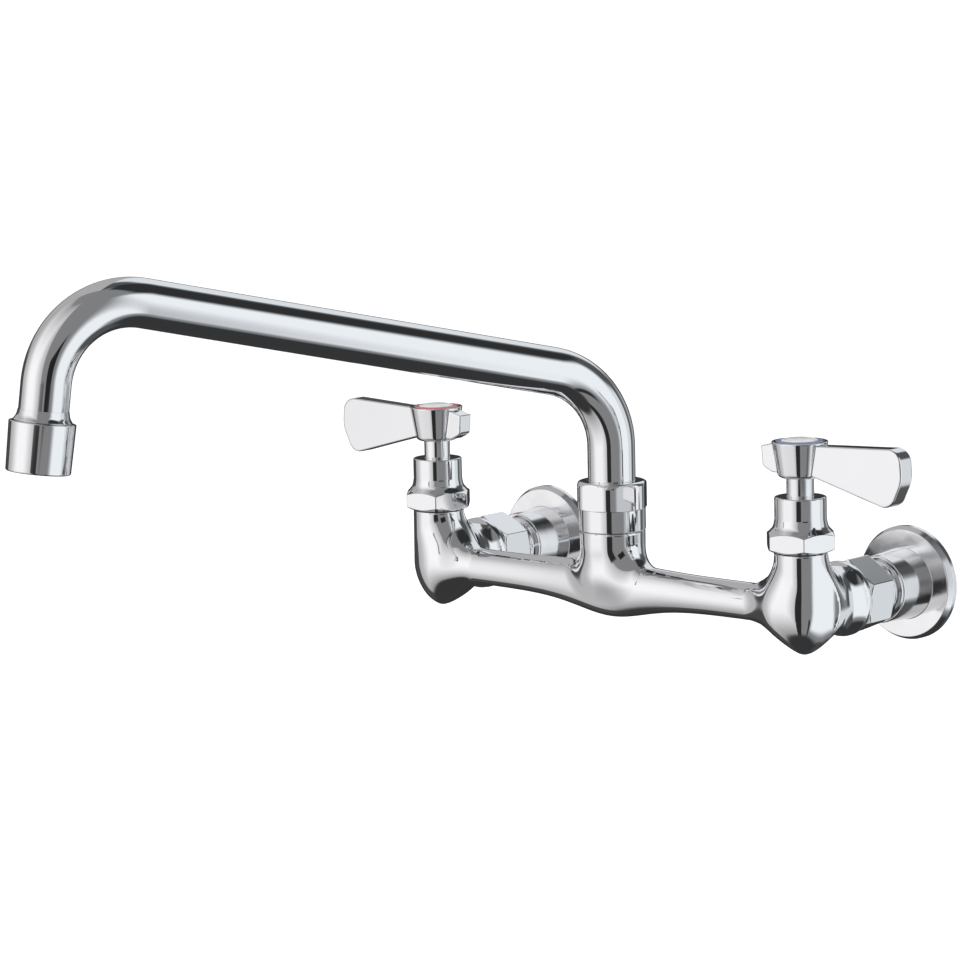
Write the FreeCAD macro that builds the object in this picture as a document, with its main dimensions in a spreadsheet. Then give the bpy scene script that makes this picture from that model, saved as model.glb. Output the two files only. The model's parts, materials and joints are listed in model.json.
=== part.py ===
import FreeCAD, Part
import math
import os
import re
import Sketcher

# Wall-mounted two-handle sink faucet with a swinging tubular spout.
# X runs along the body, cold side positive; the wall is the plane Y = 0 and the faucet
# stands out towards -Y; Z = 0 is the height of the two inlet axes.

V = FreeCAD.Vector
doc = FreeCAD.newDocument("WallFaucet")
doc.Label = "Wall faucet with swing spout"

SIZES = [
    ("inlet_centres", 203.2, "between the two inlet axes, the 8 inch standard"),
    ("reach", 76.0, "wall to the valve and spout axes"),
    ("seat_z", 23.6, "top of the valve barrels and of the centre boss"),
    ("barrel_top_r", 11.15, "valve barrel at its seat"),
    ("barrel_r", 11.4, "valve barrel at the inlet axis"),
    ("barrel_low_z", 19.0, "barrel nose below the inlet axis"),
    ("arm_end_r", 7.9, "cross arm where it meets a barrel"),
    ("arm_mid_r", 9.3, "cross arm at the centre"),
    ("boss_r", 14.1, "centre boss below the spout nut"),
    ("boss_low_z", 14.3, "belly of the centre boss below the inlet axis"),
    ("arm_blend", 7.0, "blend of a cross arm into a barrel"),
    ("boss_blend", 12.5, "blend of a cross arm into the boss"),
    ("leg_r", 9.0, "inlet leg inside its coupling nut"),
    ("leg_root_r", 10.6, "inlet leg beside its barrel"),
    ("leg_rim_r", 15.9, "rim of the leg's bell in front of the coupling nut"),
    ("leg_bell", 11.0, "length of the bell"),
    ("leg_end", 40.5, "leg's end face, from the wall"),
    ("inlet_bore_r", 6.0, "waterway in a leg"),
    ("inlet_port_r", 3.3, "port from a leg to its valve chamber"),
    ("cross_bore_r", 4.2, "mixed-water passage in the arms"),
    ("cross_bore_z", 1.8, "height of that passage"),
    ("valve_bore_r", 9.0, "threaded valve bore in a barrel"),
    ("valve_seat_z", 2.5, "ledge that the seat seal stands on"),
    ("chamber_r", 5.4, "inlet chamber below the ledge"),
    ("chamber_low_z", 7.5, "floor of that chamber below the inlet axis"),
    ("post_r", 12.2, "threaded post under the spout nut"),
    ("post_top_z", 35.9, "top of that post"),
    ("spout_bore_r", 10.35, "bore that the spout's tailpiece turns in"),
    ("spout_bore_low_z", 7.0, "floor of that bore"),
    ("mixing_r", 8.0, "mixing chamber under the spout"),
    ("mixing_low_z", 6.0, "floor of that chamber below the inlet axis"),
    ("bonnet_hex", 27.0, "across the flats of a bonnet"),
    ("bonnet_hex_low_z", 24.3, "underside of the bonnet hexagon"),
    ("bonnet_hex_top_z", 32.3, "top of the bonnet hexagon"),
    ("bonnet_neck_z", 35.6, "where the flare meets the bonnet cylinder"),
    ("bonnet_r", 10.8, "bonnet cylinder"),
    ("bonnet_top_z", 46.8, "top of the bonnet"),
    ("shank_r", 8.95, "bonnet thread"),
    ("skirt_r", 8.4, "cartridge skirt below the thread"),
    ("skirt_low_z", 3.9, "lower end of the skirt"),
    ("disc_bore_r", 7.0, "bore of the skirt around the discs"),
    ("stem_r", 5.72, "spindle where it shows below the handle"),
    ("stem_bore_r", 5.78, "bonnet bore that the spindle turns in"),
    ("shoulder_z", 14.6, "step between the two bonnet bores"),
    ("hub_low_z", 54.7, "underside of the handle hub"),
    ("hub_top_z", 69.8, "rim of the handle hub"),
    ("hub_low_r", 9.1, "hub at its lower end"),
    ("hub_top_r", 11.75, "hub at its rim"),
    ("lever_reach", 53.8, "valve axis to the end of the paddle"),
    ("tail_reach", 17.6, "valve axis to the end of the tail"),
    ("lever_thick", 7.2, "handle blade beside the hub"),
    ("paddle_thick", 8.4, "handle blade at its end"),
    ("screw_r", 1.95, "handle screw thread"),
    ("screw_head_r", 3.6, "handle screw head"),
    ("index_r", 9.9, "index ring"),
    ("button_r", 7.7, "index button"),
    ("button_top_z", 71.5, "crown of the index button"),
    ("tube_r", 10.25, "spout tube"),
    ("tube_wall", 1.1, "wall of the spout tube"),
    ("tube_low_z", 38.05, "lower end of the spout tube"),
    ("arm_z", 88.0, "where the spout arm's axis crosses the swivel axis"),
    ("arm_length", 254.0, "spout arm from corner to corner, the 10 inch size"),
    ("arm_rise", 12.56, "degrees that the spout arm rises outwards"),
    ("bend_r", 35.0, "centreline of both bends"),
    ("drop", 74.1, "far corner of the spout to its outlet face"),
    ("tube_end", 16.1, "end of the spout tube, above the outlet face"),
    ("drop_lean", 7.74, "degrees that the outlet leans outwards"),
    ("spout_swing", 22.67, "degrees that the spout stands to the hot side"),
    ("tail_r", 10.28, "tailpiece in its bore"),
    ("tail_low_z", 8.0, "lower end of the tailpiece"),
    ("collar_r", 11.9, "tailpiece collar held under the nut"),
    ("collar_top_z", 38.0, "top of that collar"),
    ("nut_ring_r", 14.35, "round lower part of the spout nut"),
    ("nut_ring_top_z", 33.1, "top of the round part"),
    ("nut_hex", 29.0, "across the flats of the spout nut"),
    ("nut_corner_r", 15.5, "turned corners of the spout nut"),
    ("nut_top_z", 45.0, "top of the spout nut"),
    ("nut_seat_z", 39.8, "underside of the spout nut's inner shoulder"),
    ("nut_thread_r", 12.3, "thread of the spout nut"),
    ("nut_hole_r", 10.45, "hole of the spout nut around the tube"),
    ("sleeve_length", 20.5, "aerator sleeve"),
    ("sleeve_top_r", 13.65, "aerator sleeve at its top"),
    ("sleeve_low_r", 13.2, "aerator sleeve at the outlet"),
    ("outlet_thread_r", 11.8, "male thread of the outlet adapter"),
    ("flange_r", 24.5, "wall flange"),
    ("flange_face_r", 23.1, "flat front of the wall flange"),
    ("flange_thick", 5.0, "wall flange"),
    ("flange_edge", 2.4, "square part of the flange's edge"),
    ("hub_root_r", 15.3, "flange hub beside the flange"),
    ("hub_nose_r", 14.3, "flange hub at its front"),
    ("hub_nose", 23.7, "front of the flange hub, from the wall"),
    ("union_r", 12.0, "male union thread on the flange hub"),
    ("union_end", 38.5, "end of that thread, from the wall"),
    ("supply_r", 9.3, "half inch pipe thread in the back of the hub"),
    ("supply_deep", 14.0, "length of that thread"),
    ("washer_end", 40.45, "front of the union washer, from the wall"),
    ("coupling_hex", 28.6, "across the flats of a coupling nut"),
    ("coupling_start", 30.8, "coupling nut's wall end, from the wall"),
    ("coupling_end", 47.4, "coupling nut's front end, from the wall"),
    ("coupling_seat", 44.0, "coupling nut's inner shoulder, from the wall"),
    ("coupling_thread_r", 12.05, "coupling nut thread"),
    ("coupling_hole_r", 9.9, "coupling nut's hole around the leg"),
]

sheet = doc.addObject("Spreadsheet::Sheet", "Sizes")
for row, (alias, size, meaning) in enumerate(SIZES, start=1):
    sheet.set(f"A{row}", meaning)
    sheet.set(f"B{row}", str(size))
    sheet.setAlias(f"B{row}", alias)
doc.recompute()
ALIASES = {alias for alias, size, meaning in SIZES}
PARTS = []


def bound(text):
    """An expression on the sheet's cells, from plain text that uses their aliases."""
    return re.sub(r"[a-z_]+", lambda word: "Sizes." + word[0] if word[0] in ALIASES else word[0], str(text))


def value(text):
    """What such an expression comes to, in millimetres or degrees."""
    result = sheet.evalExpression(bound(text))
    return float(getattr(result, "Value", result))


# ---------------------------------------------------------------- sketches and features

def new_body(label, turn=(0, 0, 1, 0), at=("0", "0", "0")):
    """A body for one piece, turned by an axis and an angle and moved to its place."""
    body = doc.addObject("PartDesign::Body", label)
    body.Label = label
    axis_x, axis_y, axis_z, angle = turn
    body.Placement.Rotation = FreeCAD.Rotation(V(axis_x, axis_y, axis_z), angle)
    for letter, text in zip("xyz", at):
        body.setExpression(f"Placement.Base.{letter}", bound(text))
    PARTS.append(body)
    return body


def new_sketch(body, name, plane="XZ_Plane", offset=("0", "0", "0")):
    """A sketch on one of the body's own origin planes, moved by offset in the sketch's axes."""
    sketch = body.newObject("Sketcher::SketchObject", name)
    support = next(item for item in body.Origin.OriginFeatures if item.Role == plane)
    sketch.AttachmentSupport = (support, [""])
    sketch.MapMode = "FlatFace"
    for letter, text in zip("xyz", offset):
        sketch.setExpression(f"AttachmentOffset.Base.{letter}", bound(text))
    return sketch


def pin_point(sketch, element, end, name, corner):
    """Bind a point of the sketch to two sheet expressions."""
    for letter, kind, axis, text in (("x", "DistanceX", -2, corner[0]), ("y", "DistanceY", -1, corner[1])):
        if str(text) == "0":
            sketch.addConstraint(Sketcher.Constraint("PointOnObject", element, end, axis))
            continue
        sketch.addConstraint(Sketcher.Constraint(kind, -1, 1, element, end, value(text)))
        row = sketch.ConstraintCount - 1
        sketch.renameConstraint(row, f"{name}_{letter}")
        sketch.setExpression(f"Constraints.{name}_{letter}", bound(text))


def outline(sketch, corners, closed=True, name="corner"):
    """Lines through corners (across, up) or (across, up, rounding), all as sheet expressions."""
    count = len(corners)
    places = [V(value(corner[0]), value(corner[1]), 0) for corner in corners]
    rounding = [value(corner[2]) if len(corner) > 2 else 0.0 for corner in corners]
    towards = []
    for index in range(count):
        back = (places[index - 1] - places[index]).normalize()
        ahead = (places[(index + 1) % count] - places[index]).normalize()
        towards.append((back, ahead, rounding[index] / math.tan(back.getAngle(ahead) / 2)))
    edges = count if closed else count - 1
    for index in range(edges):
        after = (index + 1) % count
        start = places[index] + towards[index][1] * towards[index][2]
        end = places[after] + towards[after][0] * towards[after][2]
        sketch.addGeometry(Part.LineSegment(start, end))
    for index, corner in enumerate(corners):
        before = (index - 1) % count
        is_end = not closed and index in (0, count - 1)
        if not rounding[index]:
            if is_end:
                line, end = (0, 1) if index == 0 else (count - 2, 2)
            else:
                line, end = index, 1
                sketch.addConstraint(Sketcher.Constraint("Coincident", before, 2, index, 1))
            pin_point(sketch, line, end, f"{name}_{index}", corner)
            continue
        back, ahead, trim = towards[index]
        first, last = places[index] + back * trim, places[index] + ahead * trim
        middle_way = (back + ahead).normalize()
        from_corner = rounding[index] / math.sin(back.getAngle(ahead) / 2) - rounding[index]
        arc = sketch.addGeometry(Part.Arc(first, places[index] + middle_way * from_corner, last))
        starts_first = (sketch.getPoint(arc, 1) - first).Length < (sketch.getPoint(arc, 2) - first).Length
        near, far = (1, 2) if starts_first else (2, 1)
        sketch.addConstraint(Sketcher.Constraint("Tangent", before, 2, arc, near))
        sketch.addConstraint(Sketcher.Constraint("Tangent", index, 1, arc, far))
        sketch.addConstraint(Sketcher.Constraint("Radius", arc, rounding[index]))
        sketch.renameConstraint(sketch.ConstraintCount - 1, f"{name}_{index}_round")
        sketch.setExpression(f"Constraints.{name}_{index}_round", bound(corner[2]))
        point = sketch.addGeometry(Part.Point(places[index]), True)
        sketch.addConstraint(Sketcher.Constraint("PointOnObject", point, 1, before))
        sketch.addConstraint(Sketcher.Constraint("PointOnObject", point, 1, index))
        pin_point(sketch, point, 1, f"{name}_{index}", corner)


def ring(sketch, radius, name="ring", centre=("0", "0")):
    """A circle of a bound radius about a bound centre."""
    place = V(value(centre[0]), value(centre[1]), 0)
    circle = sketch.addGeometry(Part.Circle(place, V(0, 0, 1), value(radius)))
    pin_point(sketch, circle, 3, f"{name}_centre", centre)
    sketch.addConstraint(Sketcher.Constraint("Radius", circle, value(radius)))
    sketch.renameConstraint(sketch.ConstraintCount - 1, name)
    sketch.setExpression(f"Constraints.{name}", bound(radius))


def revolve(body, name, corners, cut=False, plane="XZ_Plane", axis="V_Axis", offset=("0", "0", "0")):
    """Add or cut a turned shape whose half section has these corners."""
    profile = new_sketch(body, name + "_section", plane, offset)
    outline(profile, corners)
    feature = body.newObject("PartDesign::Groove" if cut else "PartDesign::Revolution", name)
    feature.Profile = profile
    feature.ReferenceAxis = (profile, [axis])
    feature.Angle = 360
    return feature


def extrude(body, name, profile, length, cut=False, both_ways=False):
    """Pad or pocket a sketch by a bound length; a pocket goes against the sketch's normal."""
    feature = body.newObject("PartDesign::Pocket" if cut else "PartDesign::Pad", name)
    feature.Profile = profile
    feature.SideType = "Symmetric" if both_ways else "One side"
    feature.setExpression("Length", bound(length))
    return feature


def hexagon(flats, turn=0):
    """The corners of a hexagon of a given size across its flats, first corner at turn degrees."""
    corner_r = f"({flats}) / 2 / cos(30)"
    return [(f"{corner_r} * cos({60 * k + turn})", f"{corner_r} * sin({60 * k + turn})") for k in range(6)]


def hex_block(body, name, flats, low, high, turn=0):
    """A hexagonal prism between two heights."""
    profile = new_sketch(body, name + "_section", "XY_Plane", ("0", "0", low))
    outline(profile, hexagon(flats, turn))
    return extrude(body, name, profile, f"({high}) - ({low})")


def corner_cut(body, name, flats, height, way):
    """Turn the corners of a hexagon off at 30 degrees; way is 1 at its top and -1 at its foot."""
    inside, outside = f"({flats}) / 2 * 0.97", f"({flats}) / 2 * 1.25"
    fall = f"({outside} - {inside}) * tan(30)"
    sign = "-" if way > 0 else "+"
    past = f"({height}) {'+' if way > 0 else '-'} 1"
    corners = [(inside, height), (outside, f"({height}) {sign} {fall}"), (outside, past), (inside, past)]
    return revolve(body, name, corners, cut=True)


def turned(label, corners, turn=(0, 0, 1, 0), at=("0", "0", "0")):
    """A piece that is one turned shape."""
    body = new_body(label, turn, at)
    revolve(body, label + "_turning", corners)
    return body


def tube_section(inner, outer, low, high, edge=None):
    """The section of a plain ring, with its outer edges rounded when edge is given."""
    outer_round = (edge,) if edge else ()
    return [(inner, low), (outer, low) + outer_round, (outer, high) + outer_round, (inner, high)]


def torus_rings(label, ring_r, cord_r, heights, at):
    """Round-section seal rings about Z, as separate solids in one piece."""
    rings = []
    for index, height in enumerate(heights):
        torus = doc.addObject("Part::Torus", f"{label}_{index}")
        torus.setExpression("Radius1", bound(ring_r))
        torus.setExpression("Radius2", bound(cord_r))
        torus.setExpression("Placement.Base.z", bound(height))
        rings.append(torus)
    group = doc.addObject("Part::Compound", label)
    group.Label = label
    group.Links = rings
    for letter, text in zip("xyz", at):
        group.setExpression(f"Placement.Base.{letter}", bound(text))
    PARTS.append(group)
    return group


# ---------------------------------------------------------------- body casting

def blend(body, name, radius, wanted):
    """Round the edges of the body's tip that wanted() accepts, in the body's own axes."""
    doc.recompute()
    tip = body.Tip
    names = [f"Edge{n}" for n, edge in enumerate(tip.Shape.Edges, start=1) if wanted(edge)]
    if not names:
        raise RuntimeError(f"{name}: no edge to blend")
    feature = body.newObject("PartDesign::Fillet", name)
    feature.Base = (tip, names)
    feature.setExpression("Radius", bound(radius))
    doc.recompute()
    if "Invalid" in feature.State or feature.Shape.isNull():
        raise RuntimeError(f"{name}: the blend failed")
    return feature


def seam(edge, near_x, reach_x):
    """Whether an edge is a curved meeting line near a vertical axis at near_x."""
    if isinstance(edge.Curve, (Part.Circle, Part.Line)):
        return False
    box = edge.BoundBox
    return abs(abs(box.Center.x) - near_x) < reach_x


def make_casting():
    """The plated brass body: two valve barrels, the cross arms, the centre boss and two legs."""
    body = new_body("body_casting", at=("0", "-reach", "0"))
    half = "inlet_centres / 2"
    revolve(body, "arms", [(f"-{half}", "0"), (f"-{half}", "arm_end_r"), ("0", "arm_mid_r"),
                           (half, "arm_end_r"), (half, "0")], axis="H_Axis")
    revolve(body, "boss", [("0", "-boss_low_z"), ("boss_r", "-boss_low_z", "9"),
                           ("boss_r", "seat_z"), ("0", "seat_z")])
    blend(body, "boss_blends", "boss_blend", lambda edge: seam(edge, value("boss_r") / 2, 14))
    for side, sign in (("hot", "-"), ("cold", "+")):
        place = (f"{sign}{half}", "0", "0")
        revolve(body, f"{side}_barrel",
                [("0", "-barrel_low_z"), ("4.4", "-barrel_low_z", "6"), ("barrel_r", "-8.3", "7"),
                 ("barrel_r", "0"), ("barrel_top_r", "seat_z"), ("0", "seat_z")], offset=place)
    blend(body, "arm_blends", "arm_blend",
          lambda edge: seam(edge, value(half) - value("barrel_r") * 0.7, 6)
          and abs(edge.BoundBox.Center.y) < value("arm_end_r") + 1)
    for side, sign in (("hot", "-"), ("cold", "+")):
        place = ("0", "0", f"{sign}{half}")
        end, rim = "reach - leg_end", "reach - coupling_end - 0.4"
        revolve(body, f"{side}_leg",
                [("0", "0"), ("0", "leg_root_r"), (f"{rim} - leg_bell", "leg_root_r", "9"),
                 (f"{rim} - 2.8", "leg_rim_r - 0.9"), (f"{rim} - 2", "leg_rim_r", "0.5"),
                 (rim, "leg_rim_r"), (rim, "leg_r"), (f"{end} - 3.4", "leg_r"), (f"{end} - 3.4", "leg_r - 1"),
                 (f"{end} - 1.8", "leg_r - 1"), (f"{end} - 1.8", "leg_r"), (end, "leg_r"), (end, "0")],
                plane="YZ_Plane", axis="H_Axis", offset=place)
    return body


def cut_casting(body):
    """The threaded post for the spout nut and every waterway in the body."""
    half = "inlet_centres / 2"
    revolve(body, "post", [("0", "seat_z - 1"), ("post_r", "seat_z - 1"), ("post_r", "post_top_z"),
                           ("0", "post_top_z")])
    revolve(body, "spout_bore", [("0", "-mixing_low_z"), ("mixing_r", "-mixing_low_z"),
                                 ("mixing_r", "spout_bore_low_z"), ("spout_bore_r", "spout_bore_low_z"),
                                 ("spout_bore_r", "post_top_z + 1"), ("0", "post_top_z + 1")], cut=True)
    passage_end = f"({half} - chamber_r - 2)"
    revolve(body, "cross_passage", [(f"-{passage_end}", "0"), (f"-{passage_end}", "cross_bore_r"),
                                    (passage_end, "cross_bore_r"), (passage_end, "0")],
            cut=True, axis="H_Axis", offset=("0", "cross_bore_z", "0"))
    for side, sign in (("hot", "-"), ("cold", "+")):
        revolve(body, f"{side}_valve_bore",
                [("0", "-chamber_low_z"), ("chamber_r", "-chamber_low_z"), ("chamber_r", "valve_seat_z"),
                 ("valve_bore_r", "valve_seat_z"), ("valve_bore_r", "seat_z + 1"), ("0", "seat_z + 1")],
                cut=True, offset=(f"{sign}{half}", "0", "0"))
        revolve(body, f"{side}_inlet_bore",
                [("barrel_r + 4", "0"), ("barrel_r + 4", "inlet_bore_r"),
                 ("reach - leg_end + 1", "inlet_bore_r"), ("reach - leg_end + 1", "0")],
                cut=True, plane="YZ_Plane", axis="H_Axis", offset=("0", "0", f"{sign}{half}"))
        revolve(body, f"{side}_inlet_port",
                [("0", "0"), ("0", "inlet_port_r"), ("barrel_r + 6", "inlet_port_r"), ("barrel_r + 6", "0")],
                cut=True, plane="YZ_Plane", axis="H_Axis", offset=("0", "-1.5", f"{sign}{half}"))


# ---------------------------------------------------------------- valve cartridge and handle

def make_bonnet(side, at):
    """The cartridge's plated brass housing, with the hexagon that screws it into the barrel."""
    body = new_body(f"{side}_bonnet", at=at)
    hex_block(body, "hexagon", "bonnet_hex", "bonnet_hex_low_z", "bonnet_hex_top_z", turn=BONNET_TURN[side])
    corner_cut(body, "top_corners", "bonnet_hex", "bonnet_hex_top_z", 1)
    corner_cut(body, "foot_corners", "bonnet_hex", "bonnet_hex_low_z", -1)
    revolve(body, "housing",
            [("0", "skirt_low_z"), ("skirt_r", "skirt_low_z"), ("skirt_r", "12.5"), ("shank_r", "13.1"),
             ("shank_r", "bonnet_hex_low_z + 1"), ("bonnet_hex * 0.48", "bonnet_hex_low_z + 1"),
             ("bonnet_hex * 0.48", "bonnet_hex_top_z"), ("bonnet_r + 0.9", "bonnet_neck_z - 1.5"),
             ("bonnet_r", "bonnet_neck_z + 0.6", "2"), ("bonnet_r", "bonnet_top_z", "0.7"),
             ("0", "bonnet_top_z")])
    revolve(body, "bores", [("0", "skirt_low_z - 1"), ("disc_bore_r", "skirt_low_z - 1"),
                            ("disc_bore_r", "shoulder_z"), ("stem_bore_r", "shoulder_z"),
                            ("stem_bore_r", "bonnet_top_z + 1"), ("0", "bonnet_top_z + 1")], cut=True)
    window = new_sketch(body, "window_section", "XZ_Plane")
    outline(window, [("-3.2", "8"), ("3.2", "8"), ("3.2", "12"), ("-3.2", "12")])
    extrude(body, "windows", window, "skirt_r * 3", cut=True, both_ways=True)
    return body


def make_spindle(side, at):
    """The turning spindle: drive tongue, thrust collar, two seal grooves, and a splined end."""
    body = new_body(f"{side}_spindle", at=at)
    groove = "stem_r - 1.35"
    corners = [("0", "11"), ("6.85", "11"), ("6.85", "14"), ("stem_r", "14")]
    for low in (36, 40):
        corners += [("stem_r", f"{low}"), (groove, f"{low}"), (groove, f"{low} + 1.9"), ("stem_r", f"{low} + 1.9")]
    corners += [("stem_r", "hub_low_z - 0.1", "0.3"), ("4.2", "hub_low_z - 0.1"), ("4.2", "61.7"),
                ("0", "61.7")]
    revolve(body, "turning", corners)
    tongue = new_sketch(body, "tongue_section", "XY_Plane", ("0", "0", "8.7"))
    outline(tongue, [("-5.5", "-1.4"), ("5.5", "-1.4"), ("5.5", "1.4"), ("-5.5", "1.4")])
    extrude(body, "tongue", tongue, "2.6")
    spline = new_sketch(body, "spline_section", "XY_Plane", ("0", "0", "hub_low_z - 0.2"))
    outline(spline, star_corners("4.75", "4.1", 18))
    extrude(body, "spline", spline, "7")
    revolve(body, "screw_bore",
            [("0", "50"), ("screw_r + 0.05", "51.2"), ("screw_r + 0.05", "63"), ("0", "63")], cut=True)
    return body


def star_corners(tip_r, root_r, teeth):
    """The corners of a fine spline: a tooth's tip and a root in turn."""
    corners = []
    for tooth in range(teeth):
        for radius, part in ((tip_r, 0.0), (root_r, 0.5)):
            angle = 360 / teeth * (tooth + part)
            corners.append((f"({radius}) * cos({angle:g})", f"({radius}) * sin({angle:g})"))
    return corners


def make_lever(side, turn, at):
    """The handle casting: a tapered hub with a paddle blade, and a short tail behind it."""
    body = new_body(f"{side}_lever", turn=turn, at=at)
    blade = new_sketch(body, "blade_section", "XZ_Plane")
    outline(blade, [("0", "68.3"), ("lever_reach - 0.6", "70.6", "9.5"), ("lever_reach + 0.4", "57.5", "12"),
                    ("lever_reach - 5.5", "45.2", "6"), ("8", "56"), ("0", "56")])
    extrude(body, "blade", blade, "paddle_thick", both_ways=True)
    tail = new_sketch(body, "tail_section", "XZ_Plane")
    outline(tail, [("0", "69.2"), ("-9", "69.2"), ("-tail_reach", "67"), ("-tail_reach + 0.6", "58.6", "2.4"),
                   ("-12", "56.2"), ("0", "56.2")])
    extrude(body, "tail", tail, "lever_thick", both_ways=True)
    for way in ("", "-"):
        taper = new_sketch(body, "taper_front" if way else "taper_back", "XY_Plane", ("0", "0", "75"))
        outline(taper, [("9", f"{way}lever_thick / 2"), ("lever_reach + 2", f"{way}paddle_thick / 2"),
                        ("lever_reach + 2", f"{way}paddle_thick"), ("9", f"{way}paddle_thick")])
        extrude(body, "thinning_front" if way else "thinning_back", taper, "40", cut=True)
    revolve(body, "hub",
            [("0", "hub_low_z"), ("hub_low_r", "hub_low_z", "1.9"), ("hub_top_r", "hub_top_z", "0.5"),
             ("0", "hub_top_z")])
    revolve(body, "index_recess",
            [("0", "66.6"), ("screw_head_r + 0.9", "66.6"), ("screw_head_r + 0.9", "68.3"),
             ("index_r + 0.1", "68.3"), ("index_r + 0.1", "hub_top_z + 1"), ("0", "hub_top_z + 1")], cut=True)
    revolve(body, "screw_hole",
            [("0", "61"), ("screw_r + 0.15", "61"), ("screw_r + 0.15", "64"), ("screw_head_r + 0.9", "64"),
             ("screw_head_r + 0.9", "67"), ("0", "67")], cut=True)
    socket = new_sketch(body, "socket_section", "XY_Plane", ("0", "0", "61.9"))
    outline(socket, star_corners("4.85", "4.3", 18))
    extrude(body, "socket", socket, "10", cut=True)
    return body


def make_screw(side, at):
    """The slotted screw that holds the handle on its spindle."""
    body = new_body(f"{side}_handle_screw", at=at)
    revolve(body, "turning",
            [("0", "52.5"), ("screw_r", "52.5"), ("screw_r", "64.05"), ("screw_head_r", "64.05"),
             ("screw_head_r", "66", "0.6"), ("0", "66")])
    slot = new_sketch(body, "slot_section", "XZ_Plane")
    outline(slot, [("-0.45", "65"), ("0.45", "65"), ("0.45", "67"), ("-0.45", "67")])
    extrude(body, "slot", slot, "screw_head_r * 3", cut=True, both_ways=True)
    return body


def make_moving_disc(side, at):
    """The ceramic disc that the spindle turns: a driving slot above and two ports through it."""
    body = turned(f"{side}_moving_disc", [("0", "7.42"), ("6.8", "7.42"), ("6.8", "10.9"), ("0", "10.9")],
                  at=at)
    slot = new_sketch(body, "slot_section", "XY_Plane", ("0", "0", "10.9"))
    outline(slot, [("-5.6", "-1.45"), ("5.6", "-1.45"), ("5.6", "1.45"), ("-5.6", "1.45")])
    extrude(body, "slot", slot, "2.3", cut=True)
    disc_ports(body, "11.5")
    return body


def disc_ports(body, top):
    """Two round ports through a ceramic disc, on opposite sides of its axis."""
    ports = new_sketch(body, "port_section", "XY_Plane", ("0", "0", top))
    ring(ports, "1.7", "left_port", ("0", "3.9"))
    ring(ports, "1.7", "right_port", ("0", "-3.9"))
    extrude(body, "ports", ports, "8", cut=True)


def make_valve(side, sign):
    """Everything that screws into one barrel, and the handle on it."""
    at = (f"{sign}inlet_centres / 2", "-reach", "0")
    turned(f"{side}_bonnet_gasket",
           tube_section("shank_r + 0.2", "barrel_top_r - 0.1", "seat_z", "bonnet_hex_low_z"), at=at)
    make_bonnet(side, at)
    turned(f"{side}_seat_seal", tube_section("4.6", "6.9", "valve_seat_z", "5.4", "0.5"), at=at)
    fixed = turned(f"{side}_fixed_disc", [("0", "5.4"), ("6.9", "5.4"), ("6.9", "7.4"), ("0", "7.4")], at=at)
    disc_ports(fixed, "8")
    make_moving_disc(side, at)
    turned(f"{side}_thrust_washer", tube_section("stem_r + 0.2", "6.85", "14.05", "14.5"), at=at)
    make_spindle(side, at)
    torus_rings(f"{side}_spindle_o_rings", "stem_r - 0.675", "0.67", ("36.95", "40.95"), at)
    turn = (0, 0, 1, 180 if side == "hot" else 0)
    make_lever(side, turn, at)
    make_screw(side, at)
    turned(f"{side}_index_ring",
           [("button_r + 0.1", "68.32"), ("index_r", "68.32"), ("index_r", "hub_top_z + 0.5", "0.4"),
            ("button_r + 0.1", "hub_top_z + 0.9")], at=at)
    turned(f"{side}_index_button",
           [("0", "68.32"), ("button_r", "68.32"), ("button_r", "hub_top_z + 1", "0.6"),
            ("button_r * 0.55", "button_top_z - 0.15", "6"), ("0", "button_top_z")], at=at)


# ---------------------------------------------------------------- wall fittings

def make_inlet(side, sign):
    """One wall flange with its union: washer, snap ring and coupling nut, drawn from the wall."""
    to_front = (1, 0, 0, 90)
    at = (f"{sign}inlet_centres / 2", "0", "0")
    turned(f"{side}_wall_flange",
           [("supply_r", "0"), ("flange_r", "0"), ("flange_r", "flange_edge"), ("flange_face_r", "flange_thick"),
            ("hub_root_r", "flange_thick"), ("hub_nose_r", "hub_nose", "0.7"), ("union_r", "hub_nose"),
            ("union_r", "union_end - 0.8"), ("union_r - 0.8", "union_end"), ("6.5", "union_end"),
            ("6.5", "supply_deep"), ("supply_r", "supply_deep")], to_front, at)
    turned(f"{side}_union_washer", tube_section("6.2", "union_r - 0.2", "union_end", "washer_end"), to_front, at)
    turned(f"{side}_snap_ring", tube_section("leg_r - 0.95", "leg_r + 2.4", "leg_end + 1.9", "leg_end + 3.3"),
           to_front, at)
    body = new_body(f"{side}_coupling_nut", to_front, at)
    hex_block(body, "hexagon", "coupling_hex", "coupling_start", "coupling_end", turn=COUPLING_TURN[side])
    corner_cut(body, "front_corners", "coupling_hex", "coupling_end", 1)
    corner_cut(body, "back_corners", "coupling_hex", "coupling_start", -1)
    revolve(body, "bore", [("0", "coupling_start - 1"), ("coupling_thread_r", "coupling_start - 1"),
                           ("coupling_thread_r", "coupling_seat"), ("coupling_hole_r", "coupling_seat"),
                           ("coupling_hole_r", "coupling_end + 1"), ("0", "coupling_end + 1")], cut=True)


# ---------------------------------------------------------------- spout

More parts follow.
